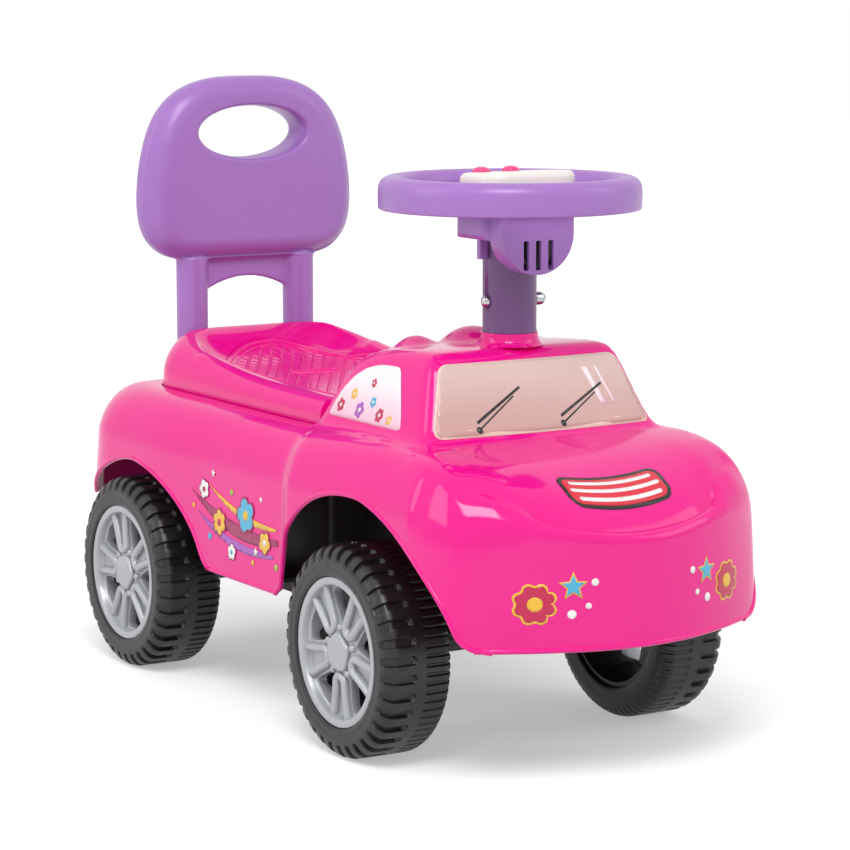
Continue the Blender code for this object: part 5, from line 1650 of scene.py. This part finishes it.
@dataclass
class Backrest:
    """The cushion-like moulded backrest with its hand hole, posts and web."""

    depth: float = 0.030
    fold_mm: float = 3.6

    def build(self) -> None:
        """Join the rough solids, melt them into one smooth skin and press the folds in."""
        right = [(half, z) for z, half in BACK_HALF_WIDTHS]
        outline = smooth_loop(right + [(-half, z) for half, z in reversed(right)], 5)
        mesh = prism(outline, -self.depth / 2, self.depth / 2, Axis.Y)
        caps = [face for face in mesh.faces if len(face.verts) > 4]
        rims = [edge for face in caps for edge in face.edges]
        round_edges(mesh, rims, 0.0135, 9)
        piece = as_object("backrest_moulding", moved(mesh, (0, BACK_Y, 0)), PURPLE, 60)
        for side in Side:
            cut(piece, upright(0.0110, 0.1860, 0.285, side.value * POST_HALF_SPACING, BACK_Y, 64), "UNION")
        cut(piece, self.web(), "UNION")
        cut(piece, self.hand_room())
        self.melt(piece)
        place_piece(piece, "body", PURPLE, "backrest")

    def web(self) -> bmesh.types.BMesh:
        """The thin web between the posts, arched along its foot.

        Returns:
            A closed bmesh.
        """
        reach = POST_HALF_SPACING - 0.004
        arch = [(reach, 0.280), (-reach, 0.280)]
        for step in range(33):
            x = -reach + 2 * reach * step / 32
            arch.append((x, 0.2445 + 0.0125 * (1 - (x / reach) ** 2)))
        return prism(arch, BACK_Y - 0.002, BACK_Y + 0.002, Axis.Y)

    @staticmethod
    def hand_room() -> bmesh.types.BMesh:
        """The hand hole's room: an oval that flares towards both faces.

        Returns:
            A closed bmesh.
        """
        profile = [(0, -0.05), (1.08, -0.05), (1.08, -0.0150)]
        profile += [(1.0 + 0.08 * (k / 8) ** 3, -0.015 * k / 8) for k in range(7, 0, -1)]
        profile += [(1.0 + 0.08 * (k / 8) ** 3, 0.015 * k / 8) for k in range(0, 8)]
        profile += [(1.08, 0.0150), (1.08, 0.05), (0, 0.05)]
        room = turned(profile, 72, Axis.Y)
        bmesh.ops.scale(room, verts=room.verts[:], vec=(0.0405, 1.0, 0.0178))
        return moved(room, (0, BACK_Y, 0.3585))

    def melt(self, piece: bpy.types.Object) -> None:
        """Remesh finely, smooth, and ease the border and foot of both faces back from a soft fold.

        Args:
            piece: the joined rough solids.
        """
        voxels = piece.modifiers.new("melt", "REMESH")
        voxels.mode = "VOXEL"
        voxels.voxel_size = 0.00125
        ease = piece.modifiers.new("ease", "SMOOTH")
        ease.factor = 0.5
        ease.iterations = 6
        bake(piece)
        for vert in piece.data.vertices:
            x, y, z = vert.co
            face = abs(y - BACK_Y) / (self.depth / 2)
            if z < 0.272 or face < 0.3:
                continue
            edge = curve_through(BACK_HALF_WIDTHS, z) - abs(x)
            border = max(0.0, 1 - edge / 0.0215) ** 1.6 * (1 - smooth_step(z, 0.366, 0.388))
            foot = max(0.0, 1 - (z - 0.270) / 0.0155) ** 1.6
            press = self.fold_mm * MM * min(1.0, border + foot) * smooth_step(face, 0.2, 0.8)
            vert.co.y -= press * (1 if y > BACK_Y else -1)
        piece.data.shade_smooth()


# Steering

WHEEL_LOW = 0.3258
GRIP_HEIGHT = 0.0190
WHEEL_RADIUS = 0.080
GRIP_WIDTH = 0.016
COLUMN_RADIUS = 0.0165
COLLAR_TOP_Z = 0.2510
BOX_FLOOR_Z = 0.3080
BOLT_Z = 0.2701
HUB_Y = -0.0080
HUB_HEIGHT = 0.0140
ROD_ROOM_RADIUS = 0.0063
PAD_TOP_Z = 0.3475
BUTTON_RADIUS = 0.0054
BUTTON_Y = 0.0050
MELODY_X = -0.0175
HORN_X = 0.0038
GRILLE_HALF_WIDTH = 0.0254
GRILLE_FRONT_Y = -0.0315
GRILLE_DEPTH = 0.0145


@dataclass
class Steering:
    """Everything dressed above the roof: column, music box, ring, pad and buttons."""

    pivot: tuple[float, float, float] = (0.0, COLUMN_Y, 0.0)

    def build(self) -> None:
        """Build each steered piece."""
        self.column()
        self.box()
        self.ring()
        self.pad()
        self.buttons()

    def column(self) -> None:
        """The collar on the roof, the column, and its bolt and nut."""
        flare = [(0.0176 + 0.0034 * (k / 12) ** 3.0, COLLAR_TOP_Z - 0.0002 - 0.0076 * k / 12)
                 for k in range(12, -1, -1)]
        profile = [(ROD_ROOM_RADIUS, 0.2360), (0.0150, 0.2360), (0.0150, 0.2428)] + flare
        profile += [(0.0174, COLLAR_TOP_Z), (ROD_ROOM_RADIUS, COLLAR_TOP_Z)]
        collar = as_object("roof_collar", moved(turned(profile, 96), self.pivot), PINK, 50)
        place_piece(collar, "body", PINK, "column_collar")
        low, high = COLLAR_TOP_Z + GAP, BOX_FLOOR_Z - GAP
        tube_body = turned([(ROD_ROOM_RADIUS, low), (COLUMN_RADIUS + 0.0004, low),
                            (COLUMN_RADIUS, low + 0.002), (COLUMN_RADIUS, high - 0.004),
                            (COLUMN_RADIUS + 0.0005, high - 0.0014), (COLUMN_RADIUS + 0.0006, high),
                            (ROD_ROOM_RADIUS, high)], 96)
        # the column takes the purple darkened as painted shade
        column = as_object("column_tube", moved(tube_body, self.pivot), PURPLE_PAINTED_SHADE, 50)
        cut(column, barrel(0.0023, -0.03, 0.03, (0, COLUMN_Y, BOLT_Z)))
        place_piece(column, "steering", PURPLE_PAINTED_SHADE, "steering_column")
        head = COLUMN_RADIUS + GAP
        dome = [(0.0038 * cos(k * pi / 16), head + 0.0006 + 0.0026 * sin(k * pi / 16)) for k in range(8)]
        profile = [(0, -head), (0.0020, -head), (0.0020, head), (0.0038, head)] + dome
        bolt = turned(profile + [(0, head + 0.0032)], 40, Axis.X)
        turned_by(bolt, Matrix.Rotation(pi, 3, "Z"))
        piece = as_object("bolt_with_dome", moved(bolt, (0, COLUMN_Y, BOLT_Z)), STEEL, 40)
        place_piece(piece, "steering", STEEL, "column_bolt")
        nut = turned([(0, head + GAP), (0.0038, head + GAP), (0.0042, head + 0.0006), (0.0042, head + 0.0052),
                      (0.0038, head + 0.0064), (0.0030, head + 0.0078), (0.0018, head + 0.0088),
                      (0, head + 0.0092)], 40, Axis.X)
        piece = as_object("acorn_nut", moved(nut, (0, COLUMN_Y, BOLT_Z)), STEEL, 40)
        place_piece(piece, "steering", STEEL, "column_nut")

    @staticmethod
    def grille_shape(inset: float = 0.0) -> list[Point2]:
        """The box front seen from ahead: straight top, round bottom, as (x, z).

        Args:
            inset: how far the outline is drawn in.

        Returns:
            The outline's points.
        """
        half, low, knee = GRILLE_HALF_WIDTH - inset, 0.2878 + inset, 0.3120
        points = [(half, WHEEL_LOW - GAP), (-half, WHEEL_LOW - GAP)]
        for step in range(33):
            angle = pi + pi * step / 32
            points.append((half * cos(angle), knee + (knee - low) * sin(angle)))
        return points

    def box(self) -> None:
        """The music box with its slotted front and small tabs."""
        top = WHEEL_LOW - GAP
        body = prism(rounded_outline(0.0295, -0.0185, 0.0185, 0.0080, 10), BOX_FLOOR_Z, top)
        piece = as_object("music_box_moulding", moved(body, self.pivot), PURPLE, 40)
        ahead = rounded_outline(0.0297, BOX_FLOOR_Z, top + 0.02, 0.006, 8)
        cut(piece, moved(prism(ahead, -0.03, 0.03, Axis.Y), self.pivot), "INTERSECT")
        for side in Side:
            ends = sorted((side.value * (COLUMN_RADIUS + 0.0005), side.value * 0.0225))
            tab = block((ends[0], -0.0018, 0.2960), (ends[1], 0.0018, BOX_FLOOR_Z + 0.001))
            cut(piece, moved(tab, self.pivot), "UNION")
        front, back = GRILLE_FRONT_Y, GRILLE_FRONT_Y + GRILLE_DEPTH
        cut(piece, moved(prism(self.grille_shape(), front, back, Axis.Y), self.pivot), "UNION")
        soften(piece, 1.0, 3)
        room = rounded_outline(0.0275, -0.0165, 0.0165, 0.0060, 6)
        cut(piece, moved(prism(room, BOX_FLOOR_Z + 0.002, top + 0.01), self.pivot))
        inner = [(x, z + 0.004 if z > 0.313 else z) for x, z in self.grille_shape(0.002)]
        cut(piece, moved(prism(inner, front + 0.002, back - 0.002, Axis.Y), self.pivot))
        for x in (-0.0088, 0.0, 0.0088):
            slot = [(x + px, pz) for px, pz in rounded_outline(0.0019, 0.2908, 0.3085, 0.0006, 3)]
            cut(piece, moved(prism(slot, front - 0.002, front + 0.004, Axis.Y), self.pivot))
        piece.data.set_sharp_from_angle(angle=radians(35))
        place_piece(piece, "steering", PURPLE, "music_box")

    def ring(self) -> None:
        """The steering ring with its spokes and hub."""
        low, high, out = WHEEL_LOW, WHEEL_LOW + GRIP_HEIGHT, WHEEL_RADIUS
        inner = out - GRIP_WIDTH
        profile = [(inner + 0.0008, low), (out - 0.0010, low), (out - 0.0003, low + 0.0004),
                   (out, low + 0.0012), (out + 0.0001, high - 0.0090)]
        steps = 20
        mid, crest = (out + inner) / 2, high + 0.0010
        for k in range(steps + 1):
            angle = pi * k / steps
            profile.append((mid + GRIP_WIDTH / 2 * cos(angle), crest - 0.0085 + 0.0085 * sin(angle) ** 0.85))
        profile += [(inner, low + 0.0010)]
        wheel = as_object("ring_moulding", moved(turned(profile, 144), self.pivot), PURPLE, 50)
        hub_shape = rounded_outline(0.0350, HUB_Y - 0.0275, HUB_Y + 0.0275, 0.016, 12)
        hub = prism(hub_shape, low, low + HUB_HEIGHT)
        edges = [e for e in hub.edges if all(v.co.z > low + HUB_HEIGHT - 0.0001 for v in e.verts)]
        round_edges(hub, edges, 0.0015, 3)
        cut(wheel, moved(hub, self.pivot), "UNION")
        for angle in (0, 180, 90):
            spoke = block((0.020, -0.0125, low + 0.0010), (out - GRIP_WIDTH / 2, 0.0125, low + 0.0090),
                          0.0026, 4)
            turned_by(spoke, Matrix.Rotation(radians(angle), 3, "Z"))
            cut(wheel, moved(spoke, self.pivot), "UNION")
        room = rounded_outline(0.0283, HUB_Y - 0.0195, 0.0173, 0.006, 6)
        cut(wheel, moved(prism(room, low - 0.01, high + 0.01), self.pivot))
        wheel.data.set_sharp_from_angle(angle=radians(40))
        place_piece(wheel, "steering", PURPLE, "steering_wheel")

    def pad(self) -> None:
        """The cream pad over the hub."""
        low = WHEEL_LOW + HUB_HEIGHT + GAP
        shape = rounded_outline(0.0335, HUB_Y - 0.0235, HUB_Y + 0.0235, 0.016, 14)
        mesh = prism(shape, low, PAD_TOP_Z)
        crown = [e for e in mesh.edges if all(v.co.z > PAD_TOP_Z - 1e-5 for v in e.verts)]
        round_edges(mesh, crown, 0.0044, 7)
        for vert in mesh.verts:
            if vert.co.z > low + 0.002:
                vert.co.z += 0.0024 * (HUB_Y + 0.0235 - vert.co.y) / 0.047
        piece = as_object("pad_moulding", moved(mesh, self.pivot), CREAM, 50)
        room = rounded_outline(0.0280, HUB_Y - 0.0190, HUB_Y + 0.0213, 0.008, 6)
        cut(piece, moved(prism(room, low - 0.01, PAD_TOP_Z - 0.0026), self.pivot))
        for x in (MELODY_X, HORN_X):
            cut(piece, moved(upright(BUTTON_RADIUS + GAP, 0.33, 0.36, x, BUTTON_Y), self.pivot))
        piece.data.set_sharp_from_angle(angle=radians(40))
        place_piece(piece, "steering", CREAM, "horn_pad")

    def buttons(self) -> None:
        """Two domed caps that press into the pad."""
        for node, body, x in (("melody_button", "melody_key", MELODY_X), ("horn_button", "horn_key", HORN_X)):
            skirt = BUTTON_RADIUS + 0.0012
            profile = [(0, -0.0045), (skirt, -0.0045), (skirt, -0.0029), (BUTTON_RADIUS, -0.0029),
                       (BUTTON_RADIUS, 0.0012)]
            profile += [(BUTTON_RADIUS * cos(k * pi / 20), 0.0012 + 0.0028 * sin(k * pi / 20))
                        for k in range(1, 10)]
            profile += [(0, 0.0040)]
            cap = moved(turned(profile, 64), (x, COLUMN_Y + BUTTON_Y, PAD_TOP_Z))
            place_piece(as_object(f"{node}_dome", cap, BUTTON, 50), body, BUTTON, node)


# Wheels

TYRE_RADIUS = 0.06475
TYRE_WIDTH = 0.0465
TYRE_MID_X = 0.09975
AXLE_Z = 0.064753
RIM_RADIUS = 0.0456
HUB_RADIUS = 0.0115
DISH_DEPTH = 0.0050
DARK_BACK_DEPTH = 0.0085


@dataclass
class Wheel:
    """One wheel, built about its own axis with its outer face at +X, then put in place."""

    name: str
    side: Side
    y: float
    phase: float
    half: float = TYRE_WIDTH / 2
    slots: int = 36
    slot_depth: float = 0.0024

    def build(self) -> None:
        """Build the tyre, the spoked centre and the cap."""
        body = f"wheel_{self.name}"
        self.settle(self.tyre(), body, TYRE, f"tyre_{self.name}", 0.0)
        self.settle(self.centre(), body, SILVER, f"rim_{self.name}", self.phase)
        self.settle(self.cap(), body, SILVER, f"hub_cap_{self.name}", self.phase)

    def settle(self, piece: bpy.types.Object, body: str, finish: Finish, node: str, phase: float) -> None:
        """Turn a piece to its phase, move its points to the wheel's place and hang it on its body.

        Args:
            piece: the piece, built about the wheel's axis.
            body: the CAD body it rides on.
            finish: its finish.
            node: the CAD node it stands for.
            phase: its turn about the axle in degrees.
        """
        turn = Matrix.Rotation(0 if self.side is Side.LEFT else pi, 4, "Z")
        place = Matrix.Translation((self.side.value * TYRE_MID_X, self.y, AXLE_Z))
        piece.data.transform(place @ turn @ Matrix.Rotation(radians(phase), 4, "X"))
        place_piece(piece, body, finish, node)

    def recess(self, x: float, angle: float, phase: float, count: int, half: float, low: float,
               high: float) -> float:
        """How deep a tread slot is at a point, from 0 to 1.

        Args:
            x: place across the tyre.
            angle: place round it, in radians.
            phase: the first slot's angle as a part of the period.
            count: how many slots go round.
            half: half a slot's width.
            low: where the slots start across the tyre.
            high: where they end.

        Returns:
            1 in a slot, 0 outside it, with a short slope at its edge.
        """
        period = tau / count
        along = ((angle / period + phase) % 1.0 - 0.5) * period * TYRE_RADIUS
        middle, reach = (low + high) / 2, (high - low) / 2 - half
        beyond = max(0.0, abs(x - middle) - reach)
        return smooth_step(half - sqrt(beyond * beyond + along * along), -0.0001, 0.0006)

    def tyre(self) -> bpy.types.Object:
        """The blow-moulded tyre: long slots on the outer half, fine ribs on the inner half.

        Returns:
            The tyre.
        """
        bore, crown, half = RIM_RADIUS + GAP, TYRE_RADIUS, self.half
        profile = [(bore, -half + 0.0010), (bore + 0.0012, -half + 0.0002), (0.0520, -half)]
        rounding = 0.0085
        for k in range(11):
            angle = k / 10 * pi / 2
            profile.append((crown - rounding * 1.25 + rounding * 1.25 * sin(angle),
                            -half + rounding - rounding * cos(angle)))
        straight = 2 * (half - rounding)
        profile += [(crown, -half + rounding + straight * k / 44) for k in range(1, 44)]
        for k in range(10, -1, -1):
            angle = k / 10 * pi / 2
            profile.append((crown - rounding * 1.25 + rounding * 1.25 * sin(angle),
                            half - rounding + rounding * cos(angle)))
        profile += [(0.0520, half), (0.0500, half - 0.0003), (0.0490, half - 0.0001),
                    (bore + 0.0012, half - 0.0002), (bore, half - 0.0010)]
        bm = turned(profile, 720, Axis.X)
        for vert in bm.verts:
            x, y, z = vert.co
            reach = sqrt(y * y + z * z)
            if reach < 0.0555:
                continue
            angle = Vector((y, z)).angle_signed(Vector((1, 0)), 0.0) % tau
            deep = self.recess(x, angle, 0.0, self.slots, 0.0028, 0.0036, half + 0.004)
            deep *= smooth_step(reach, 0.0560, 0.0590)
            fine = self.recess(x, angle, 0.25, self.slots * 2, 0.0013, -half - 0.004, -0.0028)
            fine *= smooth_step(reach, 0.0565, 0.0600)
            inward = self.slot_depth * deep + self.slot_depth * 0.55 * fine
            keep = (reach - inward) / reach
            shift = 0.35 * inward * max(0.0, x) / half if reach < crown - 0.001 else 0.0
            vert.co = (x - shift, y * keep, z * keep)
        return as_object(f"tyre_moulding_{self.name}", bm, TYRE, 55)

    def centre(self) -> bpy.types.Object:
        """The wheel centre: outer ring, dish, five windows and five spokes with double ridges.

        Returns:
            The centre.
        """
        half, face = self.half, self.half - DISH_DEPTH
        bore, inner = 0.0043, -self.half + 0.0002
        base = face - 0.0018
        profile = [(bore, inner), (HUB_RADIUS, inner), (HUB_RADIUS, face - 0.0065), (0.0385, face - 0.0075),
                   (0.0425, -half + 0.0030), (RIM_RADIUS, -half + 0.0030), (RIM_RADIUS, half - 0.0018),
                   (RIM_RADIUS - 0.0003, half - 0.0013), (RIM_RADIUS - 0.0008, half - 0.0012),
                   (0.0416, half - 0.0012), (0.0411, half - 0.0014), (0.0407, half - 0.0020),
                   (0.0402, face - 0.0002), (0.0397, base + 0.0004), (0.0388, base), (0.0200, base),
                   (0.0150, face - 0.0010), (0.0132, face), (HUB_RADIUS, face), (bore, face)]
        piece = as_object(f"wheel_centre_{self.name}", turned(profile, 180, Axis.X), SILVER, 40)
        window = [(0.0178, 90), (0.0205, 82.0), (0.0340, 73.0), (0.0380, 75.5), (0.0392, 90), (0.0380, 104.5),
                  (0.0340, 107.0), (0.0205, 98.0)]
        shape = smooth_loop([(r * cos(radians(a)), r * sin(radians(a))) for r, a in window], 7)
        tools, ridges = [], []
        for index in range(5):
            turn = Matrix.Rotation(tau * index / 5, 3, "X")
            tools.append(turned_by(prism(shape, -0.03, 0.03, Axis.X), turn))
            ridges += [turned_by(part, turn) for part in self.spoke_ridges(face)]
        cut(piece, joined(tools))
        soften(piece, 0.5, 2, 50)
        mesh = bmesh.new()
        mesh.from_mesh(piece.data)
        whole = joined([mesh, *ridges])
        name = piece.name
        bpy.data.objects.remove(piece, do_unlink=True)
        made = as_object(name, whole, SILVER, 50)
        made.data.materials.append(TYRE.material())
        for polygon in made.data.polygons:
            polygon.material_index = int(polygon.center.x < face - DARK_BACK_DEPTH)
        return made

    @staticmethod
    def spoke_ridges(face: float) -> list[bmesh.types.BMesh]:
        """A spoke's hairpin ridge, closed at the hub, and a small lug beside the cap.

        Args:
            face: the dish's height.

        Returns:
            The ridge and the lug as closed solids.
        """
        radius, crest = 0.0027, face + 0.0024
        near, far, turn_at, end_at = 0.0048, 0.0088, -0.0188, -0.0412
        leg = [(k / 14, near + (far - near) * (k / 14) ** 1.2) for k in range(15)]
        path = [Vector((crest - radius - 0.0004 * t, -wide, turn_at + (end_at - turn_at) * t))
                for t, wide in reversed(leg)]
        path += [Vector((crest - radius, -near * cos(pi * k / 14), turn_at + near * 0.85 * sin(pi * k / 14)))
                 for k in range(1, 14)]
        path += [Vector((crest - radius - 0.0004 * t, wide, turn_at + (end_at - turn_at) * t))
                 for t, wide in leg]
        ridge = tube(path, radius, 18)
        lug = turned([(0, 0), (0.0024, 0), (0.0024, 0.0018), (0.0019, 0.0029), (0.0010, 0.0034),
                      (0, 0.0035)], 28, Axis.X)
        return [ridge, moved(lug, (face - 0.0016, 0.0, 0.0149))]

    def cap(self) -> bpy.types.Object:
        """The flat cap, a rounded pentagon, hollow over the push nut.

        Returns:
            The cap.
        """
        half, face = self.half, self.half - DISH_DEPTH
        corners = [((0.0122 if k % 2 == 0 else 0.0110) * cos(radians(18 + 36 * k)),
                    (0.0122 if k % 2 == 0 else 0.0110) * sin(radians(18 + 36 * k))) for k in range(10)]
        high = half - 0.0021
        cap = prism(smooth_loop(corners, 8), face + GAP, high, Axis.X)
        top = [e for e in cap.edges if all(v.co.x > high - 0.0001 for v in e.verts)]
        round_edges(cap, top, 0.0013, 4)
        piece = as_object(f"cap_moulding_{self.name}", cap, SILVER, 45)
        cut(piece, barrel(0.0072, face - 0.001, half - 0.0030, (0, 0, 0), 40))
        piece.data.set_sharp_from_angle(angle=radians(40))
        return piece


# Frame pieces that stay as they are, with their finishes

CARRIED = {
    "chassis": BLACK, "front_yoke": BLACK, "rear_axle_bracket_left": BLACK, "rear_axle_bracket_right": BLACK,
    "spacer_front_left": BLACK, "spacer_front_right": BLACK, "spacer_rear_left": BLACK,
    "spacer_rear_right": BLACK, "speaker": BLACK, "floor_bush": CREAM, "circuit_board": BOARD,
    "battery_1": SLEEVE, "battery_2": SLEEVE, "front_axle": STEEL, "rear_axle": STEEL, "steering_rod": STEEL,
    "lid_hinge_pin": STEEL, "chassis_screw_1": STEEL, "chassis_screw_2": STEEL, "chassis_screw_3": STEEL,
    "chassis_screw_4": STEEL, "rear_bracket_screw_left": STEEL, "rear_bracket_screw_right": STEEL,
    "push_nut_front_left": STEEL, "push_nut_front_right": STEEL, "push_nut_rear_left": STEEL,
    "push_nut_rear_right": STEEL,
}


def carry(nodes: dict[str, bpy.types.Object]) -> None:
    """Give each frame piece that stays its finish.

    Args:
        nodes: the frame's nodes by name.
    """
    for name, finish in CARRIED.items():
        node = nodes[name]
        node.data.materials.clear()
        node.data.materials.append(finish.material())
        log.info("%s keeps its frame shape", name)


# Studio

WHITE = (1.0, 1.0, 1.0, 1.0)
FLOOR_GREY = (0.80, 0.80, 0.80, 1.0)
FLOOR_HALF_SIZE = 6.0
ROOM_LIGHT = 0.58
SEEN_LIGHT = 1.0


def seen_directly(tree: bpy.types.NodeTree) -> bpy.types.Node:
    """A node that gives 1 to camera, glossy and transmission rays, and 0 to the rest.

    Args:
        tree: the node tree to add to.

    Returns:
        The node, read at its Value output.
    """
    path = add_node(tree, "ShaderNodeLightPath")
    seen = add_node(tree, "ShaderNodeMath", {"operation": "MAXIMUM"},
                    {0: (path, "Is Camera Ray"), 1: (path, "Is Glossy Ray")})
    return add_node(tree, "ShaderNodeMath", {"operation": "MAXIMUM"},
                    {0: (seen, "Value"), 1: (path, "Is Transmission Ray")})


@dataclass
class Studio:
    """A pale floor and soft, plain light, with the camera of the product photograph."""

    eye: tuple[float, float, float] = (-0.9916, -1.6307, 0.4606)
    azimuth: float = -31.65
    elevation: float = 8.42
    lens: float = 126.38

    def build(self) -> None:
        """Build the floor, the light and the camera."""
        self.floor()
        self.world()
        self.lamps()
        self.camera()
        bpy.context.scene.view_settings.view_transform = "Standard"

    def floor(self) -> None:
        """A wide floor that the camera sees as plain pale, with the shadow kept."""
        bm = bmesh.new()
        bmesh.ops.create_grid(bm, x_segments=1, y_segments=1, size=FLOOR_HALF_SIZE)
        floor = as_object("floor", bm, None)
        made = bpy.data.materials.new("pale_floor")
        made.use_nodes = True
        tree = made.node_tree
        tree.nodes.clear()
        diffuse = add_node(tree, "ShaderNodeBsdfDiffuse", None, {"Color": FLOOR_GREY})
        place = add_node(tree, "ShaderNodeTexCoord")
        reach = add_node(tree, "ShaderNodeVectorMath", {"operation": "LENGTH"}, {0: (place, "Object")})
        lift = add_node(tree, "ShaderNodeMapRange", {"interpolation_type": "SMOOTHSTEP"},
                        {"Value": (reach, "Value"), "From Min": 0.35, "From Max": 1.5, "To Min": 0.38,
                         "To Max": 0.66})
        glow = add_node(tree, "ShaderNodeEmission", None, {"Color": WHITE, "Strength": (lift, "Result")})
        both = add_node(tree, "ShaderNodeAddShader", None, {0: (diffuse, "BSDF"), 1: (glow, "Emission")})
        mixed = add_node(tree, "ShaderNodeMixShader", None,
                         {0: (seen_directly(tree), "Value"), 1: (diffuse, "BSDF"), 2: (both, "Shader")})
        add_node(tree, "ShaderNodeOutputMaterial", None, {"Surface": (mixed, "Shader")})
        floor.data.materials.append(made)

    @staticmethod
    def world() -> None:
        """Even light from all round, seen as white."""
        world = bpy.data.worlds.new("soft_room")
        world.use_nodes = True
        tree = world.node_tree
        tree.nodes.clear()
        even = add_node(tree, "ShaderNodeBackground", None, {"Color": WHITE, "Strength": ROOM_LIGHT})
        white = add_node(tree, "ShaderNodeBackground", None, {"Color": WHITE, "Strength": SEEN_LIGHT})
        mixed = add_node(tree, "ShaderNodeMixShader", None,
                         {0: (seen_directly(tree), "Value"), 1: (even, "Background"),
                          2: (white, "Background")})
        add_node(tree, "ShaderNodeOutputWorld", None, {"Surface": (mixed, "Shader")})
        bpy.context.scene.world = world

    @staticmethod
    def lamps() -> None:
        """Three large soft lamps: above and ahead, from the side, and low on the far side."""
        plans = (("key_softbox", (-0.9, -1.3, 1.9), (0.9, 0.9), 27.0),
                 ("side_softbox", (-1.7, 0.5, 1.1), (0.7, 1.4), 7.5),
                 ("fill_softbox", (1.6, -1.2, 1.2), (0.9, 1.2), 5.5))
        for name, place, size, power in plans:
            lamp = bpy.data.lights.new(name, "AREA")
            lamp.shape = "RECTANGLE"
            lamp.size, lamp.size_y = size
            lamp.energy = power
            holder = bpy.data.objects.new(name, lamp)
            holder.location = place
            aim = Vector((0, 0, 0.18)) - Vector(place)
            holder.rotation_euler = aim.to_track_quat("-Z", "Y").to_euler()
            bpy.context.scene.collection.objects.link(holder)

    def camera(self) -> None:
        """The camera, placed as solved from the photograph."""
        camera = bpy.data.cameras.new("photo_camera")
        camera.lens = self.lens
        camera.sensor_width = 36.0
        camera.clip_start = 0.05
        holder = bpy.data.objects.new("photo_camera", camera)
        az, el = radians(self.azimuth), radians(self.elevation)
        back = Vector((sin(az) * cos(el), -cos(az) * cos(el), sin(el)))
        right = Vector((cos(az), sin(az), 0))
        turn = Matrix((right, back.cross(right), back)).transposed()
        holder.matrix_world = Matrix.Translation(self.eye) @ turn.to_4x4()
        bpy.context.scene.collection.objects.link(holder)
        bpy.context.scene.camera = holder


@dataclass
class RideOnCar:
    """The whole toy, piece by piece over its frame."""

    shell: BodyShell = field(default_factory=BodyShell)
    wheels: tuple[Wheel, ...] = (
        Wheel("front_left", Side.LEFT, FRONT_AXLE_Y, 0.0),
        Wheel("front_right", Side.RIGHT, FRONT_AXLE_Y, 0.0),
        Wheel("rear_left", Side.LEFT, REAR_AXLE_Y, 22.0),
        Wheel("rear_right", Side.RIGHT, REAR_AXLE_Y, -22.0))

    def build(self) -> None:
        """Build every sub-assembly."""
        self.shell.build()
        Artwork(Printer(self.shell.skin)).build()
        Seat().build()
        Backrest().build()
        Steering().build()
        for wheel in self.wheels:
            wheel.build()
        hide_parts("windscreen_film")
        for side in Side:
            name = side.name.lower()
            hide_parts(f"side_film_{name}")


def main() -> None:
    """Load the frame, dress it and light it."""
    logging.basicConfig(level=logging.INFO, format="%(name)s: %(message)s")
    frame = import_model()
    carry(frame["nodes"])
    RideOnCar().build()
    Studio().build()


if __name__ == "__main__":
    main()
